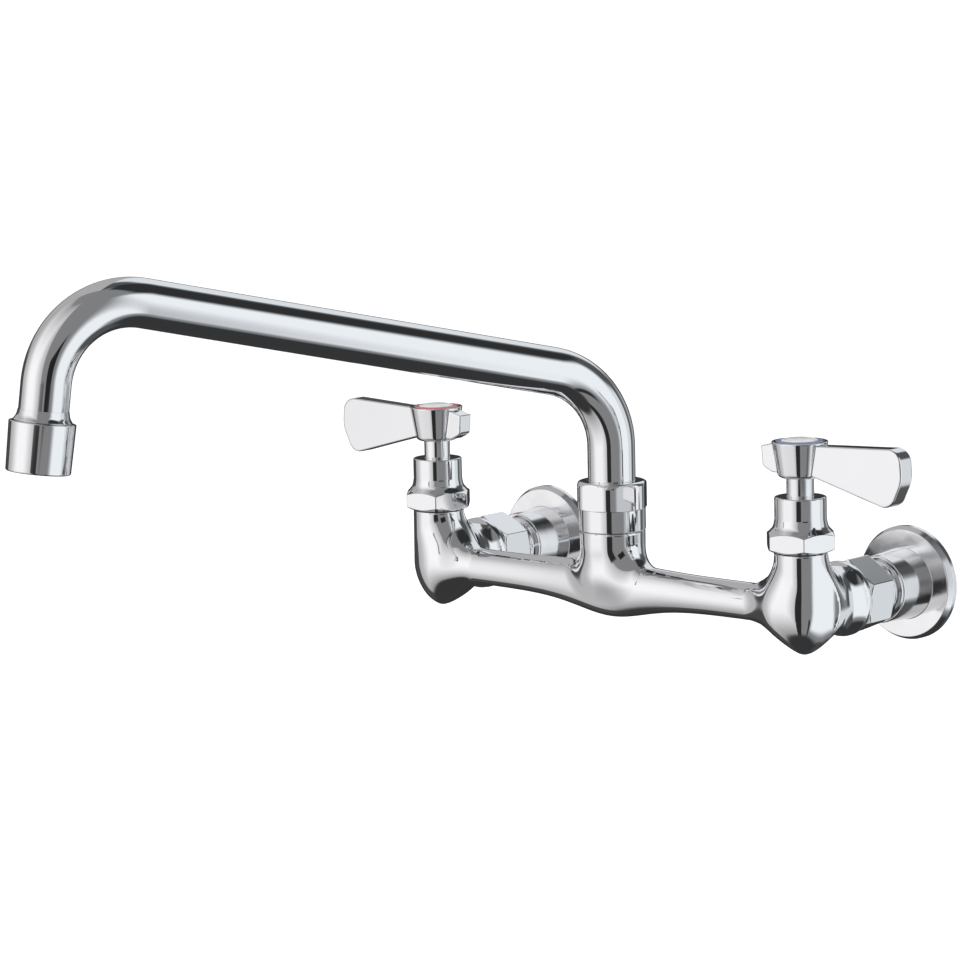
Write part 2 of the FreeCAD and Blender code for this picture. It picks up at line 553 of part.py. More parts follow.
def make_spout_nut(at):
    """The nut that holds the spout: a round foot, a hexagon with turned corners and a domed top."""
    body = new_body("spout_nut", at=at)
    hex_block(body, "hexagon", "nut_hex", "nut_ring_top_z", "nut_top_z", turn=SPOUT_NUT_TURN)
    trim = [("nut_corner_r", "nut_ring_top_z - 1"), ("nut_corner_r", "nut_top_z", "3.4"),
            ("nut_hole_r", "nut_top_z"), ("nut_hole_r", "nut_top_z + 2"), ("nut_corner_r + 4", "nut_top_z + 2"),
            ("nut_corner_r + 4", "nut_ring_top_z - 1")]
    revolve(body, "dome", trim, cut=True)
    revolve(body, "foot", [("0", "seat_z + 0.15"), ("nut_ring_r", "seat_z + 0.15", "0.4"),
                           ("nut_ring_r", "nut_ring_top_z + 0.5"), ("0", "nut_ring_top_z + 0.5")])
    revolve(body, "bore", [("0", "seat_z - 1"), ("nut_thread_r", "seat_z - 1"), ("nut_thread_r", "nut_seat_z"),
                           ("nut_hole_r", "nut_seat_z"), ("nut_hole_r", "nut_top_z + 1"), ("0", "nut_top_z + 1")],
            cut=True)
    return body


def make_tube(turn, at):
    """The bent spout tube, swept along two straight legs and the arm between them."""
    body = new_body("spout_tube", turn, at)
    path = new_sketch(body, "path", "XZ_Plane")
    far_x, far_z = "arm_length * cos(arm_rise)", "arm_z + arm_length * sin(arm_rise)"
    tube_drop = "(drop - tube_end)"
    outline(path, [("0", "tube_low_z"), ("0", "arm_z", "bend_r"), (far_x, far_z, "bend_r"),
                   (f"{far_x} + {tube_drop} * sin(drop_lean)", f"{far_z} - {tube_drop} * cos(drop_lean)")],
            closed=False)
    rings = new_sketch(body, "tube_section", "XY_Plane", ("0", "0", "tube_low_z"))
    ring(rings, "tube_r", "outside")
    ring(rings, "tube_r - tube_wall", "inside")
    sweep = body.newObject("PartDesign::AdditivePipe", "sweep")
    sweep.Profile = rings
    doc.recompute()
    sweep.Spine = (path, [f"Edge{n + 1}" for n in range(len(path.Shape.Edges))])
    return body


def make_spout():
    """The swinging spout: tailpiece, seals, tube, outlet adapter and aerator."""
    at = ("0", "-reach", "0")
    swing = (0, 0, 1, -90 - value("spout_swing"))
    make_spout_nut(at)
    turned("spout_slip_ring", tube_section("tube_r + 0.15", "collar_r", "collar_top_z + 0.1", "nut_seat_z - 0.05"),
           at=at)
    groove = "tail_r - 1.4"
    corners = [("7.5", "tail_low_z"), ("tail_r", "tail_low_z", "0.6")]
    for low in (14, 20):
        corners += [("tail_r", f"{low}"), (groove, f"{low}"), (groove, f"{low} + 1.9"), ("tail_r", f"{low} + 1.9")]
    corners += [("tail_r", "post_top_z + 0.05"), ("collar_r", "post_top_z + 0.05"), ("collar_r", "collar_top_z"),
                ("tube_r - tube_wall - 0.05", "collar_top_z"), ("tube_r - tube_wall - 0.05", "46"), ("7.5", "46")]
    turned("spout_tailpiece", corners, at=at)
    torus_rings("spout_o_rings", "tail_r - 0.7", "0.68", ("14.95", "20.95"), at)
    make_tube(swing, at)

    far_x, far_z = value("arm_length * cos(arm_rise)"), value("arm_z + arm_length * sin(arm_rise)")
    lean = value("drop_lean")
    out = FreeCAD.Rotation(V(0, 0, 1), -90 - value("spout_swing"))
    level = value("drop") * math.sin(math.radians(lean))
    fall = value("drop") * math.cos(math.radians(lean))
    outlet = out.multVec(V(far_x + level, 0, far_z - fall)) + V(0, -value("reach"), 0)
    upright = out.multiply(FreeCAD.Rotation(V(0, 1, 0), -lean))
    turn = (*upright.Axis, math.degrees(upright.Angle))
    at = tuple(f"{number:.6f}" for number in outlet)
    turned("outlet_adapter",
           [("9", "9.5"), ("outlet_thread_r", "9.5"), ("outlet_thread_r", "sleeve_length + 0.1"),
            ("outlet_thread_r + 0.5", "sleeve_length + 0.3"), ("tube_r + 0.25", "sleeve_length + 4.8"),
            ("tube_r + 0.05", "sleeve_length + 4.8"), ("tube_r + 0.05", "tube_end - 0.1"),
            ("9", "tube_end - 0.1")], turn, at)
    turned("aerator_sleeve",
           [("9.7", "0"), ("sleeve_low_r", "0", "0.8"), ("sleeve_top_r", "sleeve_length", "0.5"),
            ("outlet_thread_r + 0.1", "sleeve_length"), ("outlet_thread_r + 0.1", "8.2"), ("11.2", "8.2"),
            ("11.2", "1.6"), ("9.7", "1.6")], turn, at)
    make_aerator(turn, at)
    turned("aerator_washer", tube_section("8.8", "11.1", "8.3", "9.45", "0.2"), turn, at)


def make_aerator(turn, at):
    """The plastic aerator core with a ring of stream holes, and the wire screen under it."""
    core = turned("aerator_core", [("0", "2.3"), ("11.1", "2.3"), ("11.1", "8.2"), ("0", "8.2")], turn, at)
    holes = new_sketch(core, "hole_section", "XY_Plane", ("0", "0", "8.2"))
    ring(holes, "1.3", "centre_hole")
    for rank, (circle_r, count) in enumerate((("3.8", 6), ("7.4", 12))):
        for k in range(count):
            angle = 360 / count * k
            centre = (f"{circle_r} * cos({angle:g})", f"{circle_r} * sin({angle:g})")
            ring(holes, "1.2", f"hole_{rank}_{k}", centre)
    extrude(core, "stream_holes", holes, "7", cut=True)
    screen = turned("aerator_screen", [("0", "1.65"), ("11.1", "1.65"), ("11.1", "2.25"), ("0", "2.25")],
                    turn, at)
    grid = new_sketch(screen, "mesh_section", "XY_Plane", ("0", "0", "2.25"))
    for column in range(-3, 4):
        for row in range(-3, 4):
            if column * column + row * row <= 10:
                ring(grid, "0.9", f"mesh_{column + 3}_{row + 3}", (f"{column * 2.4:g}", f"{row * 2.4:g}"))
    extrude(screen, "mesh", grid, "2", cut=True)


# ---------------------------------------------------------------- the whole faucet

BONNET_TURN = {"hot": -52.4, "cold": -47.8}
COUPLING_TURN = {"hot": 33, "cold": 24}
SPOUT_NUT_TURN = 2.7

casting = make_casting()
cut_casting(casting)
for side, sign in (("hot", "-"), ("cold", "+")):
    make_inlet(side, sign)
    make_valve(side, sign)
make_spout()
doc.recompute()

for item in doc.Objects:
    if "Invalid" in item.State or "Error" in item.State:
        raise RuntimeError(f"{item.Name} is {item.State}")
os.makedirs("parts", exist_ok=True)
for piece in PARTS:
    if piece.Shape.isNull() or not piece.Shape.isValid():
        raise RuntimeError(f"{piece.Label} has no valid shape")
    piece.Shape.exportStep(f"parts/{piece.Label}.step")
    solids = len(piece.Shape.Solids)
    print(f"{piece.Label}: {piece.Shape.Volume / 1000:.3f} cm3, {solids} solid(s)")
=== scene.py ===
import json
import math

import bmesh
import bpy
import numpy as np
from mathutils import Matrix, Vector

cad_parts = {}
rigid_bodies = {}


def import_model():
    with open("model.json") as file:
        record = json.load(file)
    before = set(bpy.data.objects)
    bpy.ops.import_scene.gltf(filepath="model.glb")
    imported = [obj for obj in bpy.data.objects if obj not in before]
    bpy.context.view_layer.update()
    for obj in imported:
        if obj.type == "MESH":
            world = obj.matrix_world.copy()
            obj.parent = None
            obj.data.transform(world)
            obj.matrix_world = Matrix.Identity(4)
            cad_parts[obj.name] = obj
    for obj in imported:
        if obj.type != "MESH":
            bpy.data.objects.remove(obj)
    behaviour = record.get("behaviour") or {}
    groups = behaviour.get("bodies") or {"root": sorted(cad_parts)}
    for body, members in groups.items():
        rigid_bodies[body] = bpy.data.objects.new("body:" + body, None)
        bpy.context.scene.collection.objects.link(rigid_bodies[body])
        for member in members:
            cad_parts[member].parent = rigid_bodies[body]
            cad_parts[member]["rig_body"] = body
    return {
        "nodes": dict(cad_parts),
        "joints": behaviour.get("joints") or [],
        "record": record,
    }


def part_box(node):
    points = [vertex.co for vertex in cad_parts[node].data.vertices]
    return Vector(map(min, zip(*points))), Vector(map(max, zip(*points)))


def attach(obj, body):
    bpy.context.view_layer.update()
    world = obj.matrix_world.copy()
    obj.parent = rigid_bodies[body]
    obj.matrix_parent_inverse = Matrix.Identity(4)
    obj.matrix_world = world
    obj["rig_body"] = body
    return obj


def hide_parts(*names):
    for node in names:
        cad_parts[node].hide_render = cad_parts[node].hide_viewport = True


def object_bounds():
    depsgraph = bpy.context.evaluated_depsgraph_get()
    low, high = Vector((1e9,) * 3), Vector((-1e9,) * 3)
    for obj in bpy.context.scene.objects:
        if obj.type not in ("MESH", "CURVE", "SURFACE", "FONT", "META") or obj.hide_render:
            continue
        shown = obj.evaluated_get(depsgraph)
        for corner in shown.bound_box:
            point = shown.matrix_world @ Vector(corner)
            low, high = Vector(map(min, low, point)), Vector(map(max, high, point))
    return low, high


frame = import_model()
CAD_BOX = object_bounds()

bl_info = {
    "name": "Wall faucet finish",
    "version": (1, 0, 0),
    "blender": (4, 5, 0),
    "location": "View3D > Sidebar > Faucet",
    "description": "Plated body, nuts, handles and swinging spout of a wall faucet, with a studio",
    "category": "Object",
}

# Sizes of the pieces are in millimetres and the scene is in metres.
MM = 0.001
NODES = frame["nodes"]
AXES = {joint["child"]: Vector(joint["pos_m"]) / MM for joint in frame["joints"]}
VALVE_X = AXES["cold_handle"].x
REACH = -AXES["cold_handle"].y
SIDES = {"hot": -1, "cold": 1}


# ---------------------------------------------------------------- node trees

class Value:
    """A socket in a node tree that takes part in arithmetic."""

    def __init__(self, tree, socket):
        self.tree = tree
        self.socket = socket

    def maths(self, operation, *values):
        return self.tree.node("ShaderNodeMath", {"operation": operation}, dict(enumerate(values)))

    def __add__(self, other):
        return self.maths("ADD", self, other)

    def __sub__(self, other):
        return self.maths("SUBTRACT", self, other)

    def __rsub__(self, other):
        return self.maths("SUBTRACT", other, self)

    def __mul__(self, other):
        return self.maths("MULTIPLY", self, other)

    def __truediv__(self, other):
        return self.maths("DIVIDE", self, other)

    def __pow__(self, other):
        return self * self if other == 2.0 else self.maths("POWER", self, other)

    def __neg__(self):
        return self * -1

    def __abs__(self):
        return self.maths("ABSOLUTE", self)

    __radd__ = __add__
    __rmul__ = __mul__


class Tree:
    """Adds nodes to a node tree: a type, its settings, then values or links for its sockets."""

    def __init__(self, tree):
        self.tree = tree
        tree.nodes.clear()

    def node(self, kind, settings=None, values=None, out=0):
        made = self.tree.nodes.new(kind)
        for name, setting in (settings or {}).items():
            setattr(made, name, setting)
        for key, value in (values or {}).items():
            if isinstance(value, Value):
                self.tree.links.new(value.socket, made.inputs[key])
            else:
                made.inputs[key].default_value = value
        return Value(self, made.outputs[out]) if made.outputs else made

    def others(self, value, *names):
        """Other outputs of the node that a value comes from."""
        return [Value(self, value.socket.node.outputs[name]) for name in names]

    def step(self, value, low, high, bottom=0.0, top=1.0):
        """A smooth rise from bottom to top as the value goes from low to high."""
        settings = {"interpolation_type": "SMOOTHSTEP"}
        return self.node("ShaderNodeMapRange", settings, {0: value, 1: low, 2: high, 3: bottom, 4: top})

    def band(self, value, low, high, soft):
        """One between low and high, nought outside, with soft edges."""
        return self.step(value, low - soft, low + soft) * (1 - self.step(value, high - soft, high + soft))

    def noise(self, place, scale, detail=2.0, rough=0.5, stretch=None):
        """Noise about 0.5, finer as scale grows, squeezed along any axis by stretch."""
        if stretch:
            place = self.node("ShaderNodeVectorMath", {"operation": "MULTIPLY"}, {0: place, 1: stretch})
        values = {"Vector": place, "Scale": scale, "Detail": detail, "Roughness": rough}
        return self.node("ShaderNodeTexNoise", {}, values)

    def blend(self, factor, first, second):
        """A colour between two, by factor."""
        return self.node("ShaderNodeMix", {"data_type": "RGBA"}, {0: factor, 6: first, 7: second}, out=2)


def colour(red, green, blue):
    return (red, green, blue, 1.0)


# ---------------------------------------------------------------- finishes

def material(name, make):
    """A new material; make(tree, place) gives the values of its Principled shader."""
    made = bpy.data.materials.new(name)
    made.use_nodes = True
    tree = Tree(made.node_tree)
    place = tree.node("ShaderNodeTexCoord", out=3)
    values = make(tree, place)
    height = values.pop("height", None)
    if height is not None:
        lift = {"Height": height, "Strength": 1.0, "Distance": MM}
        values["Normal"] = tree.node("ShaderNodeBump", {}, lift)
    shader = tree.node("ShaderNodeBsdfPrincipled", {}, values)
    tree.node("ShaderNodeOutputMaterial", {}, {"Surface": shader})
    return made


def ring_distance(tree, place, across, along):
    """Distance in millimetres from the nearer of the two axes that stand at plus and minus VALVE_X."""
    split = tree.node("ShaderNodeSeparateXYZ", {}, {0: place})
    parts = dict(zip("XYZ", [split, *tree.others(split, "Y", "Z")]))
    first = abs(parts["X"]) - VALVE_X * MM
    second = parts[across] - along * MM
    return (first * first + second * second) ** 0.5 / MM


def chrome(tone, gloss, wave, smudge=0.035):
    """Bright plate over polished brass: slow waves left by the buff, faint smears and hairlines."""
    def make(tree, place):
        smear = tree.noise(place, 28, 4, 0.6)
        hair = tree.noise(place, 260, 3, 0.7, stretch=(1, 0.12, 6))
        slow = tree.noise(place, 55, 1, 0.3)
        pits = tree.noise(place, 1400, 2)
        light, dark = colour(*tone), colour(*(part * 0.965 for part in tone))
        return {
            "Base Color": tree.blend(smear, dark, light),
            "Roughness": gloss + tree.step(smear, 0.45, 0.75) * smudge + tree.step(hair, 0.62, 0.8) * 0.03,
            "Metallic": 1.0,
            "height": slow * wave + pits * 0.00012 + hair * 0.0002,
        }
    return make


def turned_chrome(tone, gloss, depth, spacing=0.32):
    """Plate over a turned face: rings left by the tool, deeper in some places than in others."""
    def make(tree, place):
        radius = ring_distance(tree, place, "Z", 0)
        rings = tree.node("ShaderNodeMath", {"operation": "SINE"}, {0: radius * (2 * math.pi / spacing)})
        worn = tree.step(tree.noise(place, 70, 3), 0.35, 0.7)
        fine = tree.noise(place, 600, 2)
        light, dark = colour(*tone), colour(*(part * 0.94 for part in tone))
        return {
            "Base Color": tree.blend(worn, light, dark),
            "Roughness": gloss + worn * 0.05 + fine * 0.03,
            "Metallic": 1.0,
            "height": rings * worn * depth + fine * 0.0002,
        }
    return make


def plain_metal(tone, gloss, grain, scale=220):
    """Bare turned metal with a dull, slightly uneven skin."""
    def make(tree, place):
        cloud = tree.noise(place, scale * 0.3, 4)
        lines = tree.noise(place, scale, 3, 0.6, stretch=(1, 1, 9))
        light, dark = colour(*tone), colour(*(part * 0.72 for part in tone))
        return {
            "Base Color": tree.blend(tree.step(cloud, 0.3, 0.75), light, dark),
            "Roughness": gloss + cloud * 0.15 + lines * 0.1,
            "Metallic": 1.0,
            "height": lines * grain,
        }
    return make


def moulded(tone, shade, gloss, grain, scale=450):
    """Moulded plastic, rubber, fibre or fired ceramic: a fine skin and a slight mottle."""
    def make(tree, place):
        mottle = tree.noise(place, scale * 0.2, 5, 0.6)
        skin = tree.noise(place, scale, 3, 0.6)
        return {
            "Base Color": tree.blend(tree.step(mottle, 0.35, 0.7), colour(*tone), colour(*shade)),
            "Roughness": gloss + skin * 0.12,
            "Metallic": 0.0,
            "height": skin * grain,
        }
    return make


def finishes(colours):
    """What makes each slot's finish, from the user's colours."""
    plate, gloss = tuple(colours.plate), colours.plate_gloss
    hot, cold, cap = tuple(colours.hot), tuple(colours.cold), tuple(colours.cap)

    def deeper(tone):
        return tuple(part * 0.75 for part in tone)
    return {
        "cast_chrome": chrome(plate, gloss, 0.012),
        "tube_chrome": chrome(plate, gloss, 0.005),
        "machined_chrome": chrome(plate, gloss, 0.003),
        "turned_chrome": turned_chrome(plate, gloss + 0.04, 0.0035),
        "plain_brass": plain_metal((0.72, 0.52, 0.22), 0.28, 0.004),
        "spring_steel": plain_metal((0.62, 0.62, 0.64), 0.22, 0.003, 300),
        "seal_rubber": moulded((0.02, 0.02, 0.022), (0.045, 0.045, 0.05), 0.5, 0.006),
        "fibre_washer": moulded((0.035, 0.03, 0.027), (0.06, 0.05, 0.045), 0.7, 0.03, 900),
        "bearing_plastic": moulded((0.80, 0.80, 0.76), (0.72, 0.72, 0.67), 0.35, 0.004),
        "valve_ceramic": moulded((0.86, 0.85, 0.81), (0.78, 0.76, 0.70), 0.12, 0.002),
        "hot_colour": moulded(hot, deeper(hot), 0.2, 0.004),
        "cold_colour": moulded(cold, deeper(cold), 0.2, 0.004),
        "index_white": moulded(cap, deeper(cap), 0.15, 0.004),
    }


PLATE_TONE = (0.90, 0.905, 0.92)
SLOTS = {part["node"]: part["material_slot"] for part in frame["record"]["subparts"]}
MADE = {}


def finish(slot):
    """The material of a slot of the record, made when it is first asked for."""
    if slot not in MADE:
        MADE[slot] = material(slot, finishes(bpy.context.scene.faucet_colours)[slot])
    return MADE[slot]


# ---------------------------------------------------------------- turned shapes

def unit(vector):
    return vector / np.linalg.norm(vector)


def section(corners, edge=0.25, steps=5):
    """A closed outline of (across, up) or (across, up, rounding) corners; plain corners get a small edge."""
    points = []
    places = [np.array(corner[:2], float) for corner in corners]
    for index, here in enumerate(places):
        back = places[index - 1] - here
        ahead = places[(index + 1) % len(places)] - here
        rounding = corners[index][2] if len(corners[index]) > 2 else edge
        half = math.acos(max(-1.0, min(1.0, float(unit(back) @ unit(ahead))))) / 2
        room = 0.45 * min(np.linalg.norm(back), np.linalg.norm(ahead))
        rounding = min(rounding, room * math.tan(half))
        if rounding < 0.01:
            points.append(here)
            continue
        start = here + unit(back) * rounding / math.tan(half)
        end = here + unit(ahead) * rounding / math.tan(half)
        centre = here + unit(unit(back) + unit(ahead)) * rounding / math.sin(half)
        sweep = math.pi - 2 * half
        count = max(2, round(steps * (1 + rounding / 2) * sweep))
        for k in range(count + 1):
            part = k / count
            along = math.sin((1 - part) * sweep) * (start - centre) + math.sin(part * sweep) * (end - centre)
            points.append(centre + along / math.sin(sweep))
    return points


def softer(first, second, soft):
    """The smaller of two values, with the change between them rounded over soft."""
    share = np.clip(0.5 + 0.5 * (second - first) / soft, 0, 1)
    return second * (1 - share) + first * share - soft * share * (1 - share)


def hexagon_radius(angles, flats, turn, soft=0.35):
    """Distance from the axis to a hexagon's side, by angle in degrees."""
    way = np.radians((angles - turn) % 60 - 30)
    near, far = flats / 2 / np.cos(way), flats / 2 / np.cos(np.abs(way) - math.pi / 3)
    return softer(near, far, soft)


def turned(corners, hexagon=None, columns=144, edge=0.25):
    """Points and faces of a shape turned about Z; hexagon is (flats, first corner's angle, low, high)."""
    outline = section(corners, edge)
    if hexagon:
        flats, turn, low, high = hexagon
        beside = [0, 0.4, 0.9, 1.6, 2.6, 4.5, 8, 12, 16, 20, 25]
        offsets = sorted({-offset for offset in beside} | set(beside) | {30})
        angles = np.array([60 * k + turn + offset for k in range(6) for offset in offsets])
    else:
        angles = np.arange(columns) * 360 / columns
    dense = []
    for index, here in enumerate(outline):
        after = outline[(index + 1) % len(outline)]
        sloped = hexagon and min(abs(after - here)) > 0.02 and min(here[0], after[0]) > flats * 0.4
        count = max(1, math.ceil(np.linalg.norm(after - here) / 0.15)) if sloped else 1
        dense += [here + (after - here) * k / count for k in range(count)]
    rows = np.array(dense)
    radii = np.repeat(rows[:, :1], len(angles), axis=1)
    if hexagon:
        inside = (rows[:, 1] > low - 0.01) & (rows[:, 1] < high + 0.01) & (rows[:, 0] > flats * 0.4)
        side = np.broadcast_to(hexagon_radius(angles, flats, turn), radii.shape)
        radii = np.where(inside[:, None], softer(radii, side, 0.3), radii)
    way = np.radians(angles)
    heights = np.repeat(rows[:, 1:], len(angles), axis=1)
    points = np.stack([radii * np.cos(way), radii * np.sin(way), heights], axis=-1).reshape(-1, 3)
    around = len(angles)
    row, column = np.meshgrid(np.arange(len(rows)), np.arange(around), indexing="ij")
    beside = (column + 1) % around
    after_row = (row + 1) % len(rows) * around
    faces = np.stack([row * around + column, row * around + beside, after_row + beside, after_row + column], -1)
    return points, faces.reshape(-1, 4)


def placed(points, at, up=(0, 0, 1), first=(1, 0, 0)):
    """Points about Z moved to a place, with Z turned to up and X towards first."""
    rise = Vector(up).normalized()
    side = Vector(first) - rise * rise.dot(Vector(first))
    side.normalize()
    return points @ np.array([side, rise.cross(side), rise]) + np.array(at)


# ---------------------------------------------------------------- flowing shapes

def joined(first, second, radius):
    """Distance to the union of two shapes, with a round fillet where they meet."""
    gap_1, gap_2 = np.maximum(radius - first, 0), np.maximum(radius - second, 0)
    return np.maximum(radius, np.minimum(first, second)) - np.hypot(gap_1, gap_2)


def trimmed(first, second, radius):
    """Distance to what two shapes share, with a round edge where they cross."""
    return -joined(-first, -second, radius)


def drilled(shape, across, along, radius, low, high):
    """Distance to a shape with a round hole in it; across is the distance from the hole's axis."""
    hole = np.maximum(across - radius, np.maximum(low - along, along - high))
    return np.maximum(shape, -hole)


def within(across, up, outline):
    """Signed distance to a closed outline in a plane, negative inside it."""
    nearest, inside = None, False
    for index, here in enumerate(outline):
        after = outline[(index + 1) % len(outline)]
        step = after - here
        off_1, off_2 = across - here[0], up - here[1]
        part = np.clip((off_1 * step[0] + off_2 * step[1]) / (step @ step), 0, 1)
        square = (off_1 - part * step[0]) ** 2 + (off_2 - part * step[1]) ** 2
        nearest = square if nearest is None else np.minimum(nearest, square)
        crosses = (here[1] > up) != (after[1] > up)
        if step[1]:
            inside = inside ^ (crosses & (off_1 < off_2 * step[0] / step[1]))
    return np.where(inside, -1, 1) * np.sqrt(nearest)


def skin(distance, low, high, cell):
    """Points and four-sided faces of the surface where distance(x, y, z) is nought, cell apart."""
    axes = [np.arange(start - 2 * cell, end + 3 * cell, cell, dtype=np.float32)
            for start, end in zip(low, high)]
    inside = distance(axes[0][:, None, None], axes[1][None, :, None], axes[2][None, None, :]) < 0
    for axis in range(3):
        if np.take(inside, (0, -1), axis).any():
            raise ValueError("the shape reaches past its box")
    corners = sum(inside[i:i + inside.shape[0] - 1, j:j + inside.shape[1] - 1, k:k + inside.shape[2] - 1]
                  .astype(np.int8) for i in (0, 1) for j in (0, 1) for k in (0, 1))
    mixed = (corners > 0) & (corners < 8)
    number = np.full(mixed.shape, -1)
    number[mixed] = np.arange(mixed.sum())
    middles = [axes[n][index] + cell / 2 for n, index in enumerate(np.nonzero(mixed))]
    points = np.stack(middles, -1).astype(float)
    faces = []
    for axis in range(3):
        one, other = (axis + 1) % 3, (axis + 2) % 3
        before, after = [slice(1, -1)] * 3, [slice(1, -1)] * 3
        before[axis], after[axis] = slice(0, -1), slice(1, None)
        leaving = inside[tuple(before)] & ~inside[tuple(after)]
        entering = ~inside[tuple(before)] & inside[tuple(after)]
        for change, order in ((leaving, (0, 1, 3, 2)), (entering, (0, 2, 3, 1))):
            places = np.stack(np.nonzero(change), -1)
            around = []
            for step_1 in (0, 1):
                for step_2 in (0, 1):
                    cell_at = places.copy()
                    cell_at[:, one] += step_1
                    cell_at[:, other] += step_2
                    around.append(number[tuple(cell_at.T)])
            faces.append(np.stack([around[n] for n in order], -1))
    faces = np.concatenate(faces)
    for relax in (0.0, 0.5, 0.5, 0.0):
        if relax:
            points += relax * (neighbour_middle(points, faces) - points)
        for _ in range(3):
            points = onto(points, distance, cell * 0.02, cell)
    return points, faces


def neighbour_middle(points, faces):
    """The middle of each point's neighbours along the faces' edges."""
    total, count = np.zeros_like(points), np.zeros(len(points))
    for corner in range(4):
        for beside in (faces[:, (corner + 1) % 4], faces[:, corner - 1]):
            np.add.at(total, faces[:, corner], points[beside])
            np.add.at(count, faces[:, corner], 1)
    return total / count[:, None]


def onto(points, distance, small, most):
    """Points moved along the slope of distance to where it is nought, by no more than most."""
    here = distance(*points.T)
    slope = np.stack([distance(*(points + small * way).T) - distance(*(points - small * way).T)
                      for way in np.eye(3)], -1) / (2 * small)
    steep = np.maximum((slope ** 2).sum(-1), 0.05)
    return points - slope * np.clip(here / steep, -most, most)[:, None]


# ---------------------------------------------------------------- pieces

def new_object(name, mesh):
    made = bpy.data.objects.new(name, mesh)
    bpy.context.collection.objects.link(made)
    return made


def piece(name, shape, node, sharp=50):
    """A finished piece from (points, faces) in millimetres, in place of a node of the model."""
    points, faces = shape
    mesh = bpy.data.meshes.new(name)
    mesh.from_pydata((np.asarray(points) * MM).tolist(), [], [tuple(face) for face in faces])
    return dress(new_object(name, mesh), node, sharp)


def dress(made, node, sharp=50):
    """Tidy a piece's mesh, give it its finish, and put it on its body in place of its node."""
    shell = bmesh.new()
    shell.from_mesh(made.data)
    bmesh.ops.remove_doubles(shell, verts=shell.verts, dist=0.002 * MM)
    bmesh.ops.recalc_face_normals(shell, faces=shell.faces)
    shell.to_mesh(made.data)
    shell.free()
    made.data.shade_smooth()
    made.data.set_sharp_from_angle(angle=math.radians(sharp))
    weigh = made.modifiers.new("Weighted normals", "WEIGHTED_NORMAL")
    weigh.keep_sharp = True
    plain_mesh(made)
    slot = SLOTS[node]
    made.data.materials.clear()
    made.data.materials.append(finish(slot))
    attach(made, NODES[node]["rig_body"])
    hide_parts(node)
    return made


def plain_mesh(made):
    """Turn an object's evaluated shape into its own plain mesh, with no modifiers left."""
    now = made.evaluated_get(bpy.context.evaluated_depsgraph_get())
    mesh = bpy.data.meshes.new_from_object(now)
    made.modifiers.clear()
    made.data = mesh


# ---------------------------------------------------------------- studio

CAMERA_AZIMUTH = 42.21
CAMERA_RISE = 8.52
CAMERA_ROLL = -1.30
CAMERA_AIM = (-90.8, -60.0, 35.4)
CAMERA_DISTANCE = 1780.8
CAMERA_LENS = 149.28


def make_camera():
    """The camera, aimed from the front right and a little above."""
    turn, rise = math.radians(CAMERA_AZIMUTH), math.radians(CAMERA_RISE)
    back = Vector((math.sin(turn) * math.cos(rise), -math.cos(turn) * math.cos(rise), math.sin(rise)))
    camera = bpy.data.objects.new("Camera", bpy.data.cameras.new("Camera"))
    bpy.context.collection.objects.link(camera)
    camera.data.lens = CAMERA_LENS
    camera.data.clip_start, camera.data.clip_end = 0.05, 100
    camera.location = (Vector(CAMERA_AIM) + back * CAMERA_DISTANCE) * MM
    level = (-back).to_track_quat("-Z", "Y")
    camera.rotation_mode = "QUATERNION"
    camera.rotation_quaternion = level @ Matrix.Rotation(math.radians(CAMERA_ROLL), 3, "Z").to_quaternion()
    bpy.context.scene.camera = camera


# Areas of the room as (left, right, low, high, softness across, softness up, brightness on screen), in degrees
# from the camera's heading and from level.
ROOM = [
    (-200, -122, 10, 100, 6, 6, 0.66),   # wall behind, left
    (-200, -122, -100, 10, 6, 6, 0.28),  # bench behind, left
    (100, 200, -100, 100, 6, 6, 0.32),   # wall behind, right
    (140, 200, 14, 62, 8, 6, 0.88),      # backlight
    (126, 152, -12, 14, 8, 6, 0.62),     # foot of the backlight
    (150, 200, -60, 12, 8, 5, 0.22),     # dark gap behind, right
    (-200, -152, -60, 12, 8, 5, 0.22),   # dark gap behind, left
    (106, 152, -30, -12, 8, 4, 0.84),    # sheet on the bench
    (56, 128, 42, 80, 5, 4, 0.20),       # black card over the right box
    (42, 96, -46, 38, 9, 6, 0.95),       # right box
    (90, 112, -26, 18, 4, 5, 0.85),      # its reflector
    (5, 27, -5, 9, 1.5, 1.5, 0.16),      # stand in front
    (27, 35, -57, -28, 1.5, 4, 0.20),    # foot of the stand
]
BENCH_EDGE, BENCH_TONE = -57, 0.22
STRIP = (-23, -4, -60, -1, 1.5, 4, 0.18)
BOX_TURN, BOX_RISE = (-122, -18, -64), (-57, 68, 8)
SCREEN_POWER = 2.2


